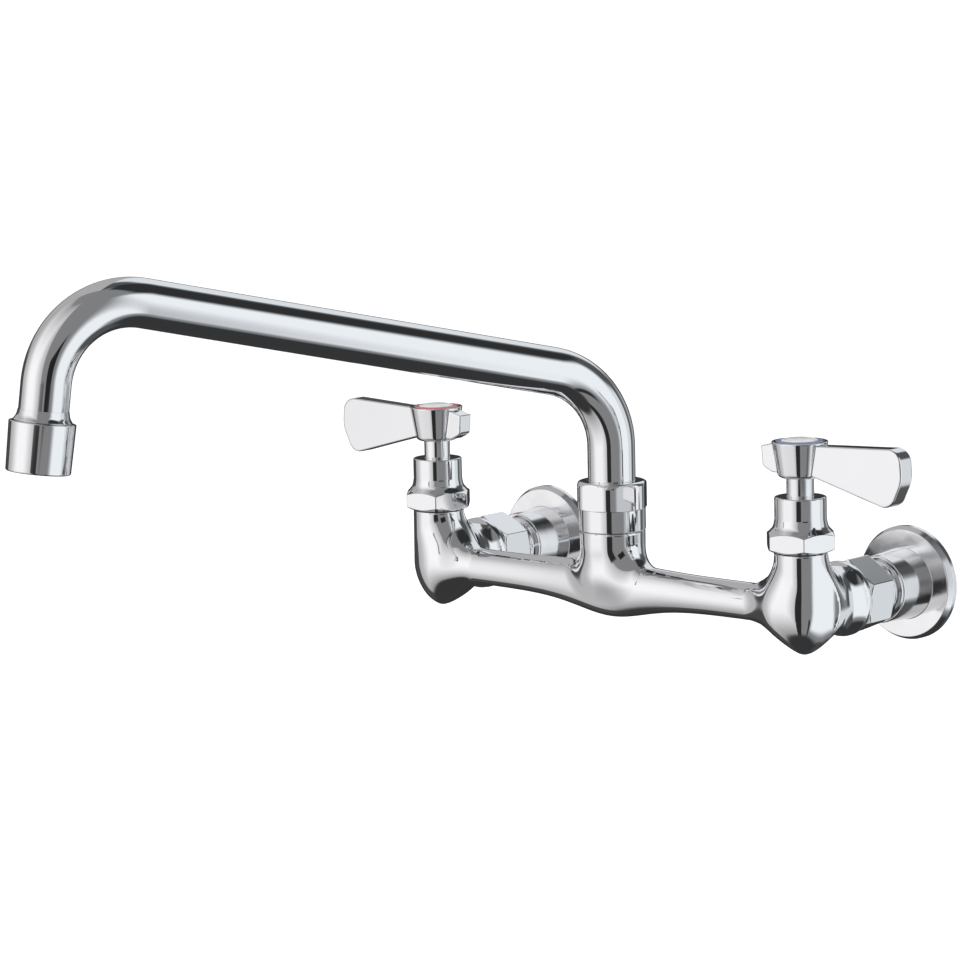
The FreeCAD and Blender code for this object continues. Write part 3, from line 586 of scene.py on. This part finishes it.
def make_world():
    """A studio room round the faucet: soft boxes, a black strip and a stand, over a dark bench."""
    world = bpy.data.worlds.new("Studio")
    bpy.context.scene.world = world
    world.use_nodes = True
    tree = Tree(world.node_tree)
    way = tree.node("ShaderNodeTexCoord", out=0)
    split = tree.node("ShaderNodeSeparateXYZ", {}, {0: way})
    across, deep, up = split, *tree.others(split, "Y", "Z")
    turn = tree.node("ShaderNodeMath", {"operation": "ARCTAN2"}, {0: across, 1: -deep}) * (180 / math.pi)
    turn = tree.node("ShaderNodeMath", {"operation": "WRAP"}, {0: turn - CAMERA_AZIMUTH, 1: 180.0, 2: -180.0})
    rise = tree.node("ShaderNodeMath", {"operation": "ARCSINE"}, {0: up}) * (180 / math.pi)

    def painted(level, left, right, low, high, soft_across, soft_up, tone):
        mask = tree.band(turn, left, right, soft_across) * tree.band(rise, low, high, soft_up)
        return level * (1 - mask) + mask * tone

    level = up * 0.0 + 0.5
    for area in ROOM:
        level = painted(level, *area)
    left, right, middle = BOX_TURN
    low, high, centre = BOX_RISE
    fall_across = tree.step(abs(turn - middle), 8, 52, 0.0, 0.28)
    fall_up = ((rise - centre) / 62.0) ** 2.0 * 0.4
    fall = tree.node("ShaderNodeMath", {"operation": "MAXIMUM"}, {0: fall_across, 1: fall_up})
    level = painted(level, left, right, low, high, 3, 3, 0.98 - fall)
    level = painted(level, *STRIP)
    level = painted(level, -400, 400, -200, BENCH_EDGE, 3, 5, BENCH_TONE)
    tint = tree.blend(tree.step(turn, -20, 60), colour(1.0, 0.985, 0.99), colour(0.93, 0.97, 1.0))
    seen = tree.node("ShaderNodeLightPath")
    strength = (level ** SCREEN_POWER / PLATE_TONE[1]) * (1 - seen) + seen
    shade = tree.node("ShaderNodeBackground", {}, {"Color": tint, "Strength": strength})
    tree.node("ShaderNodeOutputWorld", {}, {"Surface": shade})


def make_lights(studio):
    """Two large soft lamps that open up the floor and the white surfaces."""
    low, high = CAD_BOX
    middle = (low + high) / 2
    lamps = (("Key", "AREA", (-0.9, -1.1, 1.4), 1.2, studio.key_power),
             ("Sky", "SUN", (0, 0, 2), 2.5, studio.sky_strength))
    for name, kind, place, size, power in lamps:
        data = bpy.data.lights.new(name, kind)
        data.energy = power
        if kind == "AREA":
            data.size = size
        else:
            data.angle = size
        lamp = bpy.data.objects.new(name, data)
        bpy.context.collection.objects.link(lamp)
        lamp.location = middle + Vector(place)
        lamp.rotation_euler = (middle - lamp.location).to_track_quat("-Z", "Y").to_euler()
        lamp.visible_glossy = False


def make_floor(studio):
    """A wide pale floor below the faucet."""
    half = 30.0
    level = CAD_BOX[0].z - studio.floor_drop
    mesh = bpy.data.meshes.new("floor")
    mesh.from_pydata([(-half, -half, level), (half, -half, level), (half, half, level), (-half, half, level)],
                     [], [(0, 1, 2, 3)])
    floor = bpy.data.objects.new("floor", mesh)
    bpy.context.collection.objects.link(floor)

    def make(tree, place):
        grain = tree.noise(place, 3, 4)
        return {"Base Color": tree.blend(grain, colour(0.90, 0.90, 0.90), colour(0.93, 0.93, 0.93)),
                "Roughness": 0.8}
    mesh.materials.append(material("floor", make))
    floor.visible_glossy = False


# ---------------------------------------------------------------- body and fittings

SEAT_Z = 23.6
BARREL_R, NOSE_DEEP, NOSE_FORM = 11.4, 19.0, 1.75
NECK_R = 14.1
LEG_R, BELL_R, BELL_START, BELL_END, RIM_END = 12.4, 15.9, 12.5, 25.4, 28.2
STUB_R, STUB_END = 9.0, 35.5
POST_R, POST_TOP = 12.2, 35.9


ARM_R, BELLY_R, BELLY_SPREAD, BELLY_DEEP = 7.9, 9.6, 30.0, 14.3
NECK_FOOT_R = 12.6


def casting_distance(x, y, z, sizes):
    """Signed distance to the body casting, in millimetres."""
    deep = y + REACH
    out = np.abs(x) - VALVE_X
    swell = np.exp(-(x / BELLY_SPREAD) ** 2)
    low = np.minimum(z, 0)
    squeezed = np.maximum(z, 0) + low * (1 - (1 - BELLY_R / BELLY_DEEP) * swell)
    arm = trimmed(np.hypot(deep, squeezed) - ARM_R - (BELLY_R - ARM_R) * swell, out + 7, 4)
    rise = np.clip((z - 5) / 13, 0, 1)
    neck = np.hypot(x, deep) - NECK_FOOT_R - (NECK_R - NECK_FOOT_R) * rise * rise * (3 - 2 * rise)
    neck = trimmed(neck, 2 - z, 5)
    across = np.hypot(out, deep)
    scale = ((across / BARREL_R) ** NOSE_FORM + (-low / NOSE_DEEP) ** NOSE_FORM) ** (1 / NOSE_FORM)
    barrel = np.hypot(across, low) * (1 - 1 / np.maximum(scale, 1e-3)) + 0.0106 * np.maximum(z, 0)
    round_leg = np.hypot(out, z)
    part = np.clip((deep - BELL_START) / (BELL_END - BELL_START), 0, 1)
    leg = trimmed(round_leg - LEG_R - (BELL_R - LEG_R) * part ** 2, deep - RIM_END, 0.8)
    leg = np.maximum(leg, 9 - deep)
    body = joined(arm, neck, sizes.neck_flow)
    body = joined(body, joined(barrel, leg, sizes.leg_flow), sizes.barrel_flow)
    body = trimmed(body, z - SEAT_Z, 0.5)
    body = np.minimum(body, np.maximum(round_leg - STUB_R, np.maximum(deep - STUB_END, 20 - deep)))
    body = np.minimum(body, np.maximum(np.hypot(x, deep) - POST_R, np.maximum(z - POST_TOP, 10 - z)))
    body = drilled(body, across, z, 9.0, 2.5, 50)
    body = drilled(body, across, z, 5.4, -7.5, 3)
    body = drilled(body, np.hypot(x, deep), z, 10.35, 7.0, 50)
    body = drilled(body, np.hypot(x, deep), z, 8.0, -6.0, 8)
    body = drilled(body, np.hypot(deep, z - 1.8), np.abs(x), 4.2, -1, VALVE_X - 7.4)
    return drilled(body, round_leg, deep, 6.0, 15.4, 50)


def make_body(sizes):
    low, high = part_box("body_casting")
    shape = skin(lambda x, y, z: casting_distance(x, y, z, sizes), low / MM, high / MM, sizes.body_cell)
    piece("plated_body", shape, "body_casting", sharp=60)


BONNET_TURN = {"hot": -52.4, "cold": -47.8}
COUPLING_TURN = {"hot": 33, "cold": 24}
SPOUT_NUT_TURN = 2.7


def make_bonnets():
    corners = [(7.0, 3.9), (8.4, 3.9), (8.4, 12.5), (8.95, 13.1), (8.95, 24.3), (13.0, 24.3, 0.1),
               (15.7, 25.86, 0.1), (15.7, 30.9, 0.1), (13.3, 32.3, 0.5), (11.4, 34.4, 4), (10.8, 37.6, 3),
               (10.8, 46.8, 0.7), (5.78, 46.8), (5.78, 14.6), (7.0, 14.6)]
    for side, sign in SIDES.items():
        points, faces = turned(corners, (27.0, BONNET_TURN[side], 24.3, 32.3))
        piece(f"{side}_bonnet_shell", (placed(points, (sign * VALVE_X, -REACH, 0)), faces), f"{side}_bonnet")


def make_coupling_nuts():
    corners = [(12.05, 30.8), (13.7, 30.8, 0.1), (16.7, 32.5, 0.1), (16.7, 45.7, 0.1), (13.7, 47.4, 0.1),
               (9.9, 47.4), (9.9, 44.0), (12.05, 44.0)]
    for side, sign in SIDES.items():
        points, faces = turned(corners, (28.6, COUPLING_TURN[side], 30.8, 47.4))
        where = placed(points, (sign * VALVE_X, 0, 0), up=(0, -1, 0))
        piece(f"{side}_union_nut", (where, faces), f"{side}_coupling_nut")


def make_spout_nut():
    corners = [(12.3, 23.75), (14.35, 23.75, 0.4), (14.35, 33.1, 0.1), (15.5, 33.5, 0.3), (15.5, 45.0, 3.4),
               (10.45, 45.0), (10.45, 39.8), (12.3, 39.8)]
    points, faces = turned(corners, (29.0, SPOUT_NUT_TURN, 33.1, 45.0))
    piece("spout_union_nut", (placed(points, (0, -REACH, 0)), faces), "spout_nut")


THREAD_PITCH = 1.45


def make_flanges():
    corners = [(9.3, 0), (24.5, 0), (24.5, 2.4, 0.4), (23.1, 5.0, 0.5), (15.3, 5.0, 0.3), (14.3, 23.7, 0.7),
               (12.0, 23.7), (12.0, 37.7), (11.2, 38.5), (6.5, 38.5), (6.5, 14), (9.3, 14)]
    for side, sign in SIDES.items():
        points, faces = turned(corners, columns=180)
        at, up = (sign * VALVE_X, 0, 0), (0, -1, 0)
        turns = {"Radius": 11.9 * MM, "Pitch": THREAD_PITCH * MM, "Count": 9, "Finish": finish("turned_chrome")}
        ridge = made_by_nodes("Pipe thread", bpy.data.meshes.new("ridge"), thread, **turns)
        helix = as_shape(ridge, (at[0], -24.1, 0), up)
        piece(f"{side}_flange_and_hub", together((placed(points, at, up), faces), helix), f"{side}_wall_flange")


# ---------------------------------------------------------------- handles

LEVER = section([(0, 68.3), (53.2, 70.6, 9.5), (54.2, 57.5, 12), (48.3, 45.2, 6), (8, 56), (0, 56)], edge=0)
TAIL = section([(0, 69.2), (-9, 69.2), (-17.6, 67), (-17.0, 58.6, 2.4), (-12, 56.2), (0, 56.2)], edge=0)


def lever_distance(x, y, z):
    """Signed distance to a handle casting whose blade points along X."""
    half = 3.6 + 0.6 * np.clip((x - 9) / 46.8, 0, 1)
    blade = trimmed(within(x, z, LEVER), np.abs(y) - half, 0.8)
    tail = trimmed(within(x, z, TAIL), np.abs(y) - 3.6, 0.6)
    across = np.hypot(x, y)
    hub = (across - 9.1 - 2.65 * (z - 54.7) / 15.1) * 0.985
    hub = trimmed(trimmed(hub, 54.7 - z, 1.9), z - 69.8, 0.4)
    whole = joined(hub, joined(blade, tail, 0.1), 0.45)
    whole = drilled(whole, across, z, 10.0, 68.3, 80)
    whole = drilled(whole, across, z, 4.5, 64.0, 70)
    whole = drilled(whole, across, z, 2.1, 61.0, 66)
    return drilled(whole, across, z, 4.85, 50, 61.9)


def make_levers(sizes):
    points, faces = skin(lever_distance, (-17.6, -11.8, 45.2), (54.2, 11.8, 70.6), sizes.lever_cell)
    for side, sign in SIDES.items():
        where = placed(points, (sign * VALVE_X, -REACH, 0), first=(sign, 0, 0))
        piece(f"{side}_handle_lever", (where, faces), f"{side}_lever", sharp=60)


def make_caps():
    ring = [(7.8, 68.32), (9.9, 68.32), (9.9, 69.6, 0.2), (9.1, 70.1, 0.3), (8.6, 69.9, 0.3), (7.8, 70.3, 0.2)]
    button = [(0, 68.32, 0), (7.7, 68.32), (7.7, 70.4, 0.5), (6.4, 70.7, 0.4), (6.0, 70.4, 0.3), (4.4, 71.0, 2),
              (0, 71.3, 0)]
    for side, sign in SIDES.items():
        at = (sign * VALVE_X, -REACH, 0)
        parts = (("colour_ring", ring, "index_ring"), ("cap_button", button, "index_button"))
        for name, corners, node in parts:
            points, faces = turned(corners, columns=96)
            piece(f"{side}_{name}", (placed(points, at), faces), f"{side}_{node}")


# ---------------------------------------------------------------- spout

TUBE_WALL, BEND_R = 1.1, 35.0
TUBE_LOW, ARM_Z, ARM_LENGTH, ARM_RISE = 38.05, 88.0, 254.0, 12.56
DROP, DROP_LEAN, TUBE_END, SWING = 74.1, 7.74, 16.1, 22.67


def spout_way():
    """The direction in which the arm points, level, and its far corner above the valve plane."""
    swing = math.radians(SWING)
    rise = math.radians(ARM_RISE)
    out = np.array([-math.sin(swing), -math.cos(swing), 0])
    far = out * ARM_LENGTH * math.cos(rise) + np.array([0, -REACH, ARM_Z + ARM_LENGTH * math.sin(rise)])
    return out, far


def outlet_frame():
    """The middle of the outlet's face and the direction up the drop."""
    out, far = spout_way()
    lean = math.radians(DROP_LEAN)
    down = out * math.sin(lean) + np.array([0, 0, -math.cos(lean)])
    return far + down * DROP, -down


INPUTS = {"Geometry": "NodeSocketGeometry", "Finish": "NodeSocketMaterial", "Sides": "NodeSocketInt",
          "Count": "NodeSocketInt"}


def made_by_nodes(name, base, build, **inputs):
    """The plain mesh that a new tree of geometry nodes makes from base; build(tree, sockets) adds its nodes."""
    group = bpy.data.node_groups.new(name, "GeometryNodeTree")
    keys = {label: group.interface.new_socket(label, in_out="INPUT",
                                              socket_type=INPUTS.get(label, "NodeSocketFloat"))
            for label in ("Geometry", *inputs)}
    group.interface.new_socket("Geometry", in_out="OUTPUT", socket_type="NodeSocketGeometry")
    tree = Tree(group)
    first = tree.node("NodeGroupInput")
    sockets = dict(zip(keys, [first, *tree.others(first, *inputs)]))
    real = tree.node("GeometryNodeRealizeInstances", {}, {0: build(tree, sockets)})
    coated = tree.node("GeometryNodeSetMaterial", {}, {"Geometry": real, "Material": sockets["Finish"]})
    tree.node("NodeGroupOutput", {}, {0: coated})
    holder = new_object(name, base)
    maker = holder.modifiers.new(name, "NODES")
    maker.node_group = group
    for label, value in inputs.items():
        maker[keys[label].identifier] = value
    mesh = bpy.data.meshes.new_from_object(holder.evaluated_get(bpy.context.evaluated_depsgraph_get()))
    bpy.data.objects.remove(holder)
    return mesh


def tube_along(tree, sockets):
    """A round tube along a curve."""
    circle = {"Resolution": sockets["Sides"], "Radius": sockets["Radius"]}
    profile = tree.node("GeometryNodeCurvePrimitiveCircle", {"mode": "RADIUS"}, circle)
    return tree.node("GeometryNodeCurveToMesh", {}, {"Curve": sockets["Geometry"], "Profile Curve": profile})


def thread(tree, sockets):
    """The ridge of a screw thread that rises along Z."""
    radius, pitch, count = sockets["Radius"], sockets["Pitch"], sockets["Count"]
    turns = {"Resolution": 48, "Rotations": count, "Start Radius": radius, "End Radius": radius,
             "Height": pitch * count}
    spiral = tree.node("GeometryNodeCurveSpiral", {}, turns)
    ridge = {"Resolution": 4, "Radius": pitch * 0.36}
    profile = tree.node("GeometryNodeCurvePrimitiveCircle", {"mode": "RADIUS"}, ridge)
    values = {"Curve": spiral, "Profile Curve": profile, "Fill Caps": True}
    return tree.node("GeometryNodeCurveToMesh", {}, values)


def weave(tree, sockets):
    """Two crossing sets of wires that fill a round frame in the XY plane."""
    radius, wire, count = sockets["Radius"], sockets["Wire"], sockets["Count"]
    gap = radius * 2 / (count + 1)
    start = tree.node("ShaderNodeCombineXYZ", {}, {0: gap - radius})
    step = tree.node("ShaderNodeCombineXYZ", {}, {0: gap})
    row = tree.node("GeometryNodeMeshLine", {}, {"Count": count, "Start Location": start, "Offset": step})
    place = tree.node("ShaderNodeSeparateXYZ", {}, {0: tree.node("GeometryNodeInputPosition")})
    reach = (radius * radius - place * place) ** 0.5
    rod = tree.node("GeometryNodeCurvePrimitiveLine", {}, {"Start": (0, -1, 0), "End": (0, 1, 0)})
    circle = {"Resolution": 6, "Radius": wire}
    profile = tree.node("GeometryNodeCurvePrimitiveCircle", {"mode": "RADIUS"}, circle)
    values = {"Curve": rod, "Profile Curve": profile, "Fill Caps": True}
    strand = tree.node("GeometryNodeCurveToMesh", {}, values)
    length = tree.node("ShaderNodeCombineXYZ", {}, {0: 1.0, 1: reach, 2: 1.0})
    values = {"Points": row, "Instance": strand, "Scale": length}
    one_way = tree.node("GeometryNodeInstanceOnPoints", {}, values)
    lift = tree.node("ShaderNodeCombineXYZ", {}, {2: wire * 1.6})
    turned_over = {"Geometry": one_way, "Rotation": (0, 0, math.pi / 2), "Translation": lift}
    other_way = tree.node("GeometryNodeTransform", {}, turned_over)
    both = tree.node("GeometryNodeJoinGeometry", {}, {0: one_way})
    tree.tree.links.new(other_way.socket, both.socket.node.inputs[0])
    return both


def as_shape(mesh, at=(0, 0, 0), up=(0, 0, 1), first=(1, 0, 0)):
    """A mesh's points, in millimetres and put in place, and its faces."""
    points = np.array([vertex.co for vertex in mesh.vertices]) / MM
    return placed(points, at, up, first), [tuple(face.vertices) for face in mesh.polygons]


def together(*shapes):
    """Several shapes as one."""
    points, faces = [], []
    for some_points, some_faces in shapes:
        faces += [tuple(corner + len(points) for corner in face) for face in some_faces]
        points += list(some_points)
    return points, faces


def make_tube(sizes):
    far = spout_way()[1]
    foot, corner = np.array([0, -REACH, TUBE_LOW]), np.array([0, -REACH, ARM_Z])
    face_middle, up = outlet_frame()
    end = face_middle + up * TUBE_END
    route = [foot, corner, far, end]
    points = [foot]
    for before, here, after in zip(route, route[1:], route[2:]):
        back, ahead = unit(before - here), unit(after - here)
        half = math.acos(back @ ahead) / 2
        centre = here + unit(back + ahead) * BEND_R / math.sin(half)
        start, stop = here + back * BEND_R / math.tan(half), here + ahead * BEND_R / math.tan(half)
        sweep, count = math.pi - 2 * half, 40
        for k in range(count + 1):
            part = k / count
            along = math.sin((1 - part) * sweep) * (start - centre) + math.sin(part * sweep) * (stop - centre)
            points.append(centre + along / math.sin(sweep))
    points.append(end)
    curve = bpy.data.curves.new("spout_route", "CURVE")
    curve.dimensions = "3D"
    line = curve.splines.new("POLY")
    line.points.add(len(points) - 1)
    for target, point in zip(line.points, points):
        target.co = (*(point * MM), 1)
    pipe = {"Radius": sizes.tube_radius * MM, "Sides": 96, "Finish": finish("tube_chrome")}
    mesh = made_by_nodes("Tube sweep", curve, tube_along, **pipe)
    made = new_object("spout_pipe", mesh)
    shell = bmesh.new()
    shell.from_mesh(mesh)
    bmesh.ops.recalc_face_normals(shell, faces=shell.faces)
    shell.to_mesh(mesh)
    shell.free()
    wall = made.modifiers.new("Wall", "SOLIDIFY")
    wall.thickness, wall.offset = TUBE_WALL * MM, -1
    plain_mesh(made)
    dress(made, "spout_tube")


def make_outlet():
    at, up = outlet_frame()
    out = spout_way()[0]
    sleeve = [(9.7, 0), (13.2, 0, 0.8), (13.65, 20.5, 0.5), (11.9, 20.5), (11.9, 8.2), (11.2, 8.2), (11.2, 1.6),
              (9.7, 1.6)]
    adapter = [(9, 9.5), (11.8, 9.5), (11.8, 20.6), (12.2, 20.8, 0.2), (10.9, 22.6, 4), (10.36, 25.3, 0.03),
               (10.3, 25.3, 0), (10.3, 16.0), (9, 16.0)]
    rings = (("outlet_sleeve", sleeve, "aerator_sleeve"), ("outlet_flare", adapter, "outlet_adapter"))
    for name, corners, node in rings:
        points, faces = turned(corners)
        piece(name, (placed(points, at, up, out), faces), node)
    wires = {"Radius": 10.6 * MM, "Wire": 0.12 * MM, "Count": 15, "Finish": finish("spring_steel")}
    mesh = made_by_nodes("Woven screen", bpy.data.meshes.new("wires"), weave, **wires)
    rim, faces = turned([(10.3, 1.7), (11.05, 1.7), (11.05, 2.2), (10.3, 2.2)], columns=72, edge=0.05)
    screen = together((placed(rim, at, up, out), faces), as_shape(mesh, at + up * 1.9, up, out))
    piece("outlet_screen", screen, "aerator_screen")


# ---------------------------------------------------------------- settings

class FaucetSizes(bpy.types.PropertyGroup):
    """Sizes that a user may change, in millimetres"""
    neck_flow: bpy.props.FloatProperty(
        name="Neck blend", description="How far the spout post flows into the arms", default=10.0, min=1.0)
    barrel_flow: bpy.props.FloatProperty(
        name="Barrel blend", description="How far the arms flow into the valve barrels", default=15.0, min=1.0)
    leg_flow: bpy.props.FloatProperty(
        name="Leg blend", description="How far the barrels flow into the inlet legs", default=13.0, min=1.0)
    body_cell: bpy.props.FloatProperty(
        name="Body detail", description="Size of the faces of the body casting", default=0.72, min=0.3)
    lever_cell: bpy.props.FloatProperty(
        name="Lever detail", description="Size of the faces of the levers", default=0.36, min=0.2)
    tube_radius: bpy.props.FloatProperty(
        name="Tube radius", description="Outer radius of the spout tube", default=10.25, min=5.0)


class FaucetColours(bpy.types.PropertyGroup):
    """Colours and gloss that a user may change"""
    plate: bpy.props.FloatVectorProperty(
        name="Plate", description="Colour of the bright plate", default=PLATE_TONE,
        subtype="COLOR", min=0, max=1)
    plate_gloss: bpy.props.FloatProperty(
        name="Plate roughness", description="Roughness of the bright plate", default=0.03, subtype="FACTOR",
        min=0, max=1)
    hot: bpy.props.FloatVectorProperty(
        name="Hot", description="Colour of the hot ring", default=(0.36, 0.10, 0.11),
        subtype="COLOR", min=0, max=1)
    cold: bpy.props.FloatVectorProperty(
        name="Cold", description="Colour of the cold ring", default=(0.12, 0.15, 0.24),
        subtype="COLOR", min=0, max=1)
    cap: bpy.props.FloatVectorProperty(
        name="Cap", description="Colour of the buttons", default=(0.55, 0.55, 0.56),
        subtype="COLOR", min=0, max=1)


class FaucetStudio(bpy.types.PropertyGroup):
    """Settings of the studio"""
    key_power: bpy.props.FloatProperty(
        name="Key lamp", description="Power of the soft key lamp", default=25.0, min=0.0, unit="POWER")
    sky_strength: bpy.props.FloatProperty(
        name="Sky", description="Strength of the wide soft light from above", default=2.6, min=0.0)
    floor_drop: bpy.props.FloatProperty(
        name="Floor", description="Depth of the floor below the faucet", default=0.22, min=0.0,
        subtype="DISTANCE", unit="LENGTH")


# ---------------------------------------------------------------- operators

def dress_model():
    """Give every piece carried over from the model its finish."""
    for node, slot in SLOTS.items():
        NODES[node].data.materials.clear()
        NODES[node].data.materials.append(finish(slot))


class FAUCET_OT_stage(bpy.types.Operator):
    """Set up the studio: camera, room, lamps and floor"""
    bl_idname = "faucet.stage"
    bl_label = "Studio"

    def execute(self, context):
        studio = context.scene.faucet_studio
        make_camera()
        make_world()
        make_lights(studio)
        make_floor(studio)
        context.scene.view_settings.view_transform = "Standard"
        return {"FINISHED"}


class FAUCET_OT_small_parts(bpy.types.Operator):
    """Give the small and inner parts their finishes"""
    bl_idname = "faucet.small_parts"
    bl_label = "Small parts"

    def execute(self, context):
        dress_model()
        return {"FINISHED"}


class FAUCET_OT_body(bpy.types.Operator):
    """Make the plated body casting"""
    bl_idname = "faucet.body"
    bl_label = "Body"

    def execute(self, context):
        make_body(context.scene.faucet_sizes)
        return {"FINISHED"}


class FAUCET_OT_bonnets(bpy.types.Operator):
    """Make the two bonnets with their hexagons"""
    bl_idname = "faucet.bonnets"
    bl_label = "Bonnets"

    def execute(self, context):
        make_bonnets()
        return {"FINISHED"}


class FAUCET_OT_coupling_nuts(bpy.types.Operator):
    """Make the two coupling nuts"""
    bl_idname = "faucet.coupling_nuts"
    bl_label = "Coupling nuts"

    def execute(self, context):
        make_coupling_nuts()
        return {"FINISHED"}


class FAUCET_OT_spout_nut(bpy.types.Operator):
    """Make the nut that holds the spout"""
    bl_idname = "faucet.spout_nut"
    bl_label = "Spout nut"

    def execute(self, context):
        make_spout_nut()
        return {"FINISHED"}


class FAUCET_OT_flanges(bpy.types.Operator):
    """Make the two wall flanges with their threads"""
    bl_idname = "faucet.flanges"
    bl_label = "Wall flanges"

    def execute(self, context):
        make_flanges()
        return {"FINISHED"}


class FAUCET_OT_levers(bpy.types.Operator):
    """Make the two handle levers"""
    bl_idname = "faucet.levers"
    bl_label = "Levers"

    def execute(self, context):
        make_levers(context.scene.faucet_sizes)
        return {"FINISHED"}


class FAUCET_OT_caps(bpy.types.Operator):
    """Make the coloured rings and the buttons"""
    bl_idname = "faucet.caps"
    bl_label = "Index caps"

    def execute(self, context):
        make_caps()
        return {"FINISHED"}


class FAUCET_OT_tube(bpy.types.Operator):
    """Sweep the spout tube along its route"""
    bl_idname = "faucet.tube"
    bl_label = "Spout tube"

    def execute(self, context):
        make_tube(context.scene.faucet_sizes)
        return {"FINISHED"}


class FAUCET_OT_outlet(bpy.types.Operator):
    """Make the outlet flare, sleeve and screen"""
    bl_idname = "faucet.outlet"
    bl_label = "Outlet"

    def execute(self, context):
        make_outlet()
        return {"FINISHED"}


STEPS = (
    FAUCET_OT_stage, FAUCET_OT_small_parts, FAUCET_OT_body, FAUCET_OT_bonnets, FAUCET_OT_coupling_nuts,
    FAUCET_OT_spout_nut, FAUCET_OT_flanges, FAUCET_OT_levers, FAUCET_OT_caps, FAUCET_OT_tube, FAUCET_OT_outlet,
)


class FAUCET_PT_panel(bpy.types.Panel):
    """Lists the faucet's settings and the steps that make it"""
    bl_idname = "FAUCET_PT_panel"
    bl_label = "Faucet"
    bl_space_type = "VIEW_3D"
    bl_region_type = "UI"
    bl_category = "Faucet"

    def draw(self, context):
        scene = context.scene
        for settings in (scene.faucet_sizes, scene.faucet_colours, scene.faucet_studio):
            box = self.layout.box()
            for name in settings.__annotations__:
                box.prop(settings, name)
        for step in STEPS:
            self.layout.operator(step.bl_idname)


SETTINGS = {"faucet_sizes": FaucetSizes, "faucet_colours": FaucetColours, "faucet_studio": FaucetStudio}
CLASSES = (*SETTINGS.values(), *STEPS, FAUCET_PT_panel)


def register():
    for cls in CLASSES:
        bpy.utils.register_class(cls)
    for name, group in SETTINGS.items():
        setattr(bpy.types.Scene, name, bpy.props.PointerProperty(type=group))


def unregister():
    for name in SETTINGS:
        delattr(bpy.types.Scene, name)
    for cls in reversed(CLASSES):
        bpy.utils.unregister_class(cls)


def main():
    register()
    for step in STEPS:
        getattr(bpy.ops.faucet, step.bl_idname.split(".")[1])()


if __name__ == "__main__":
    main()
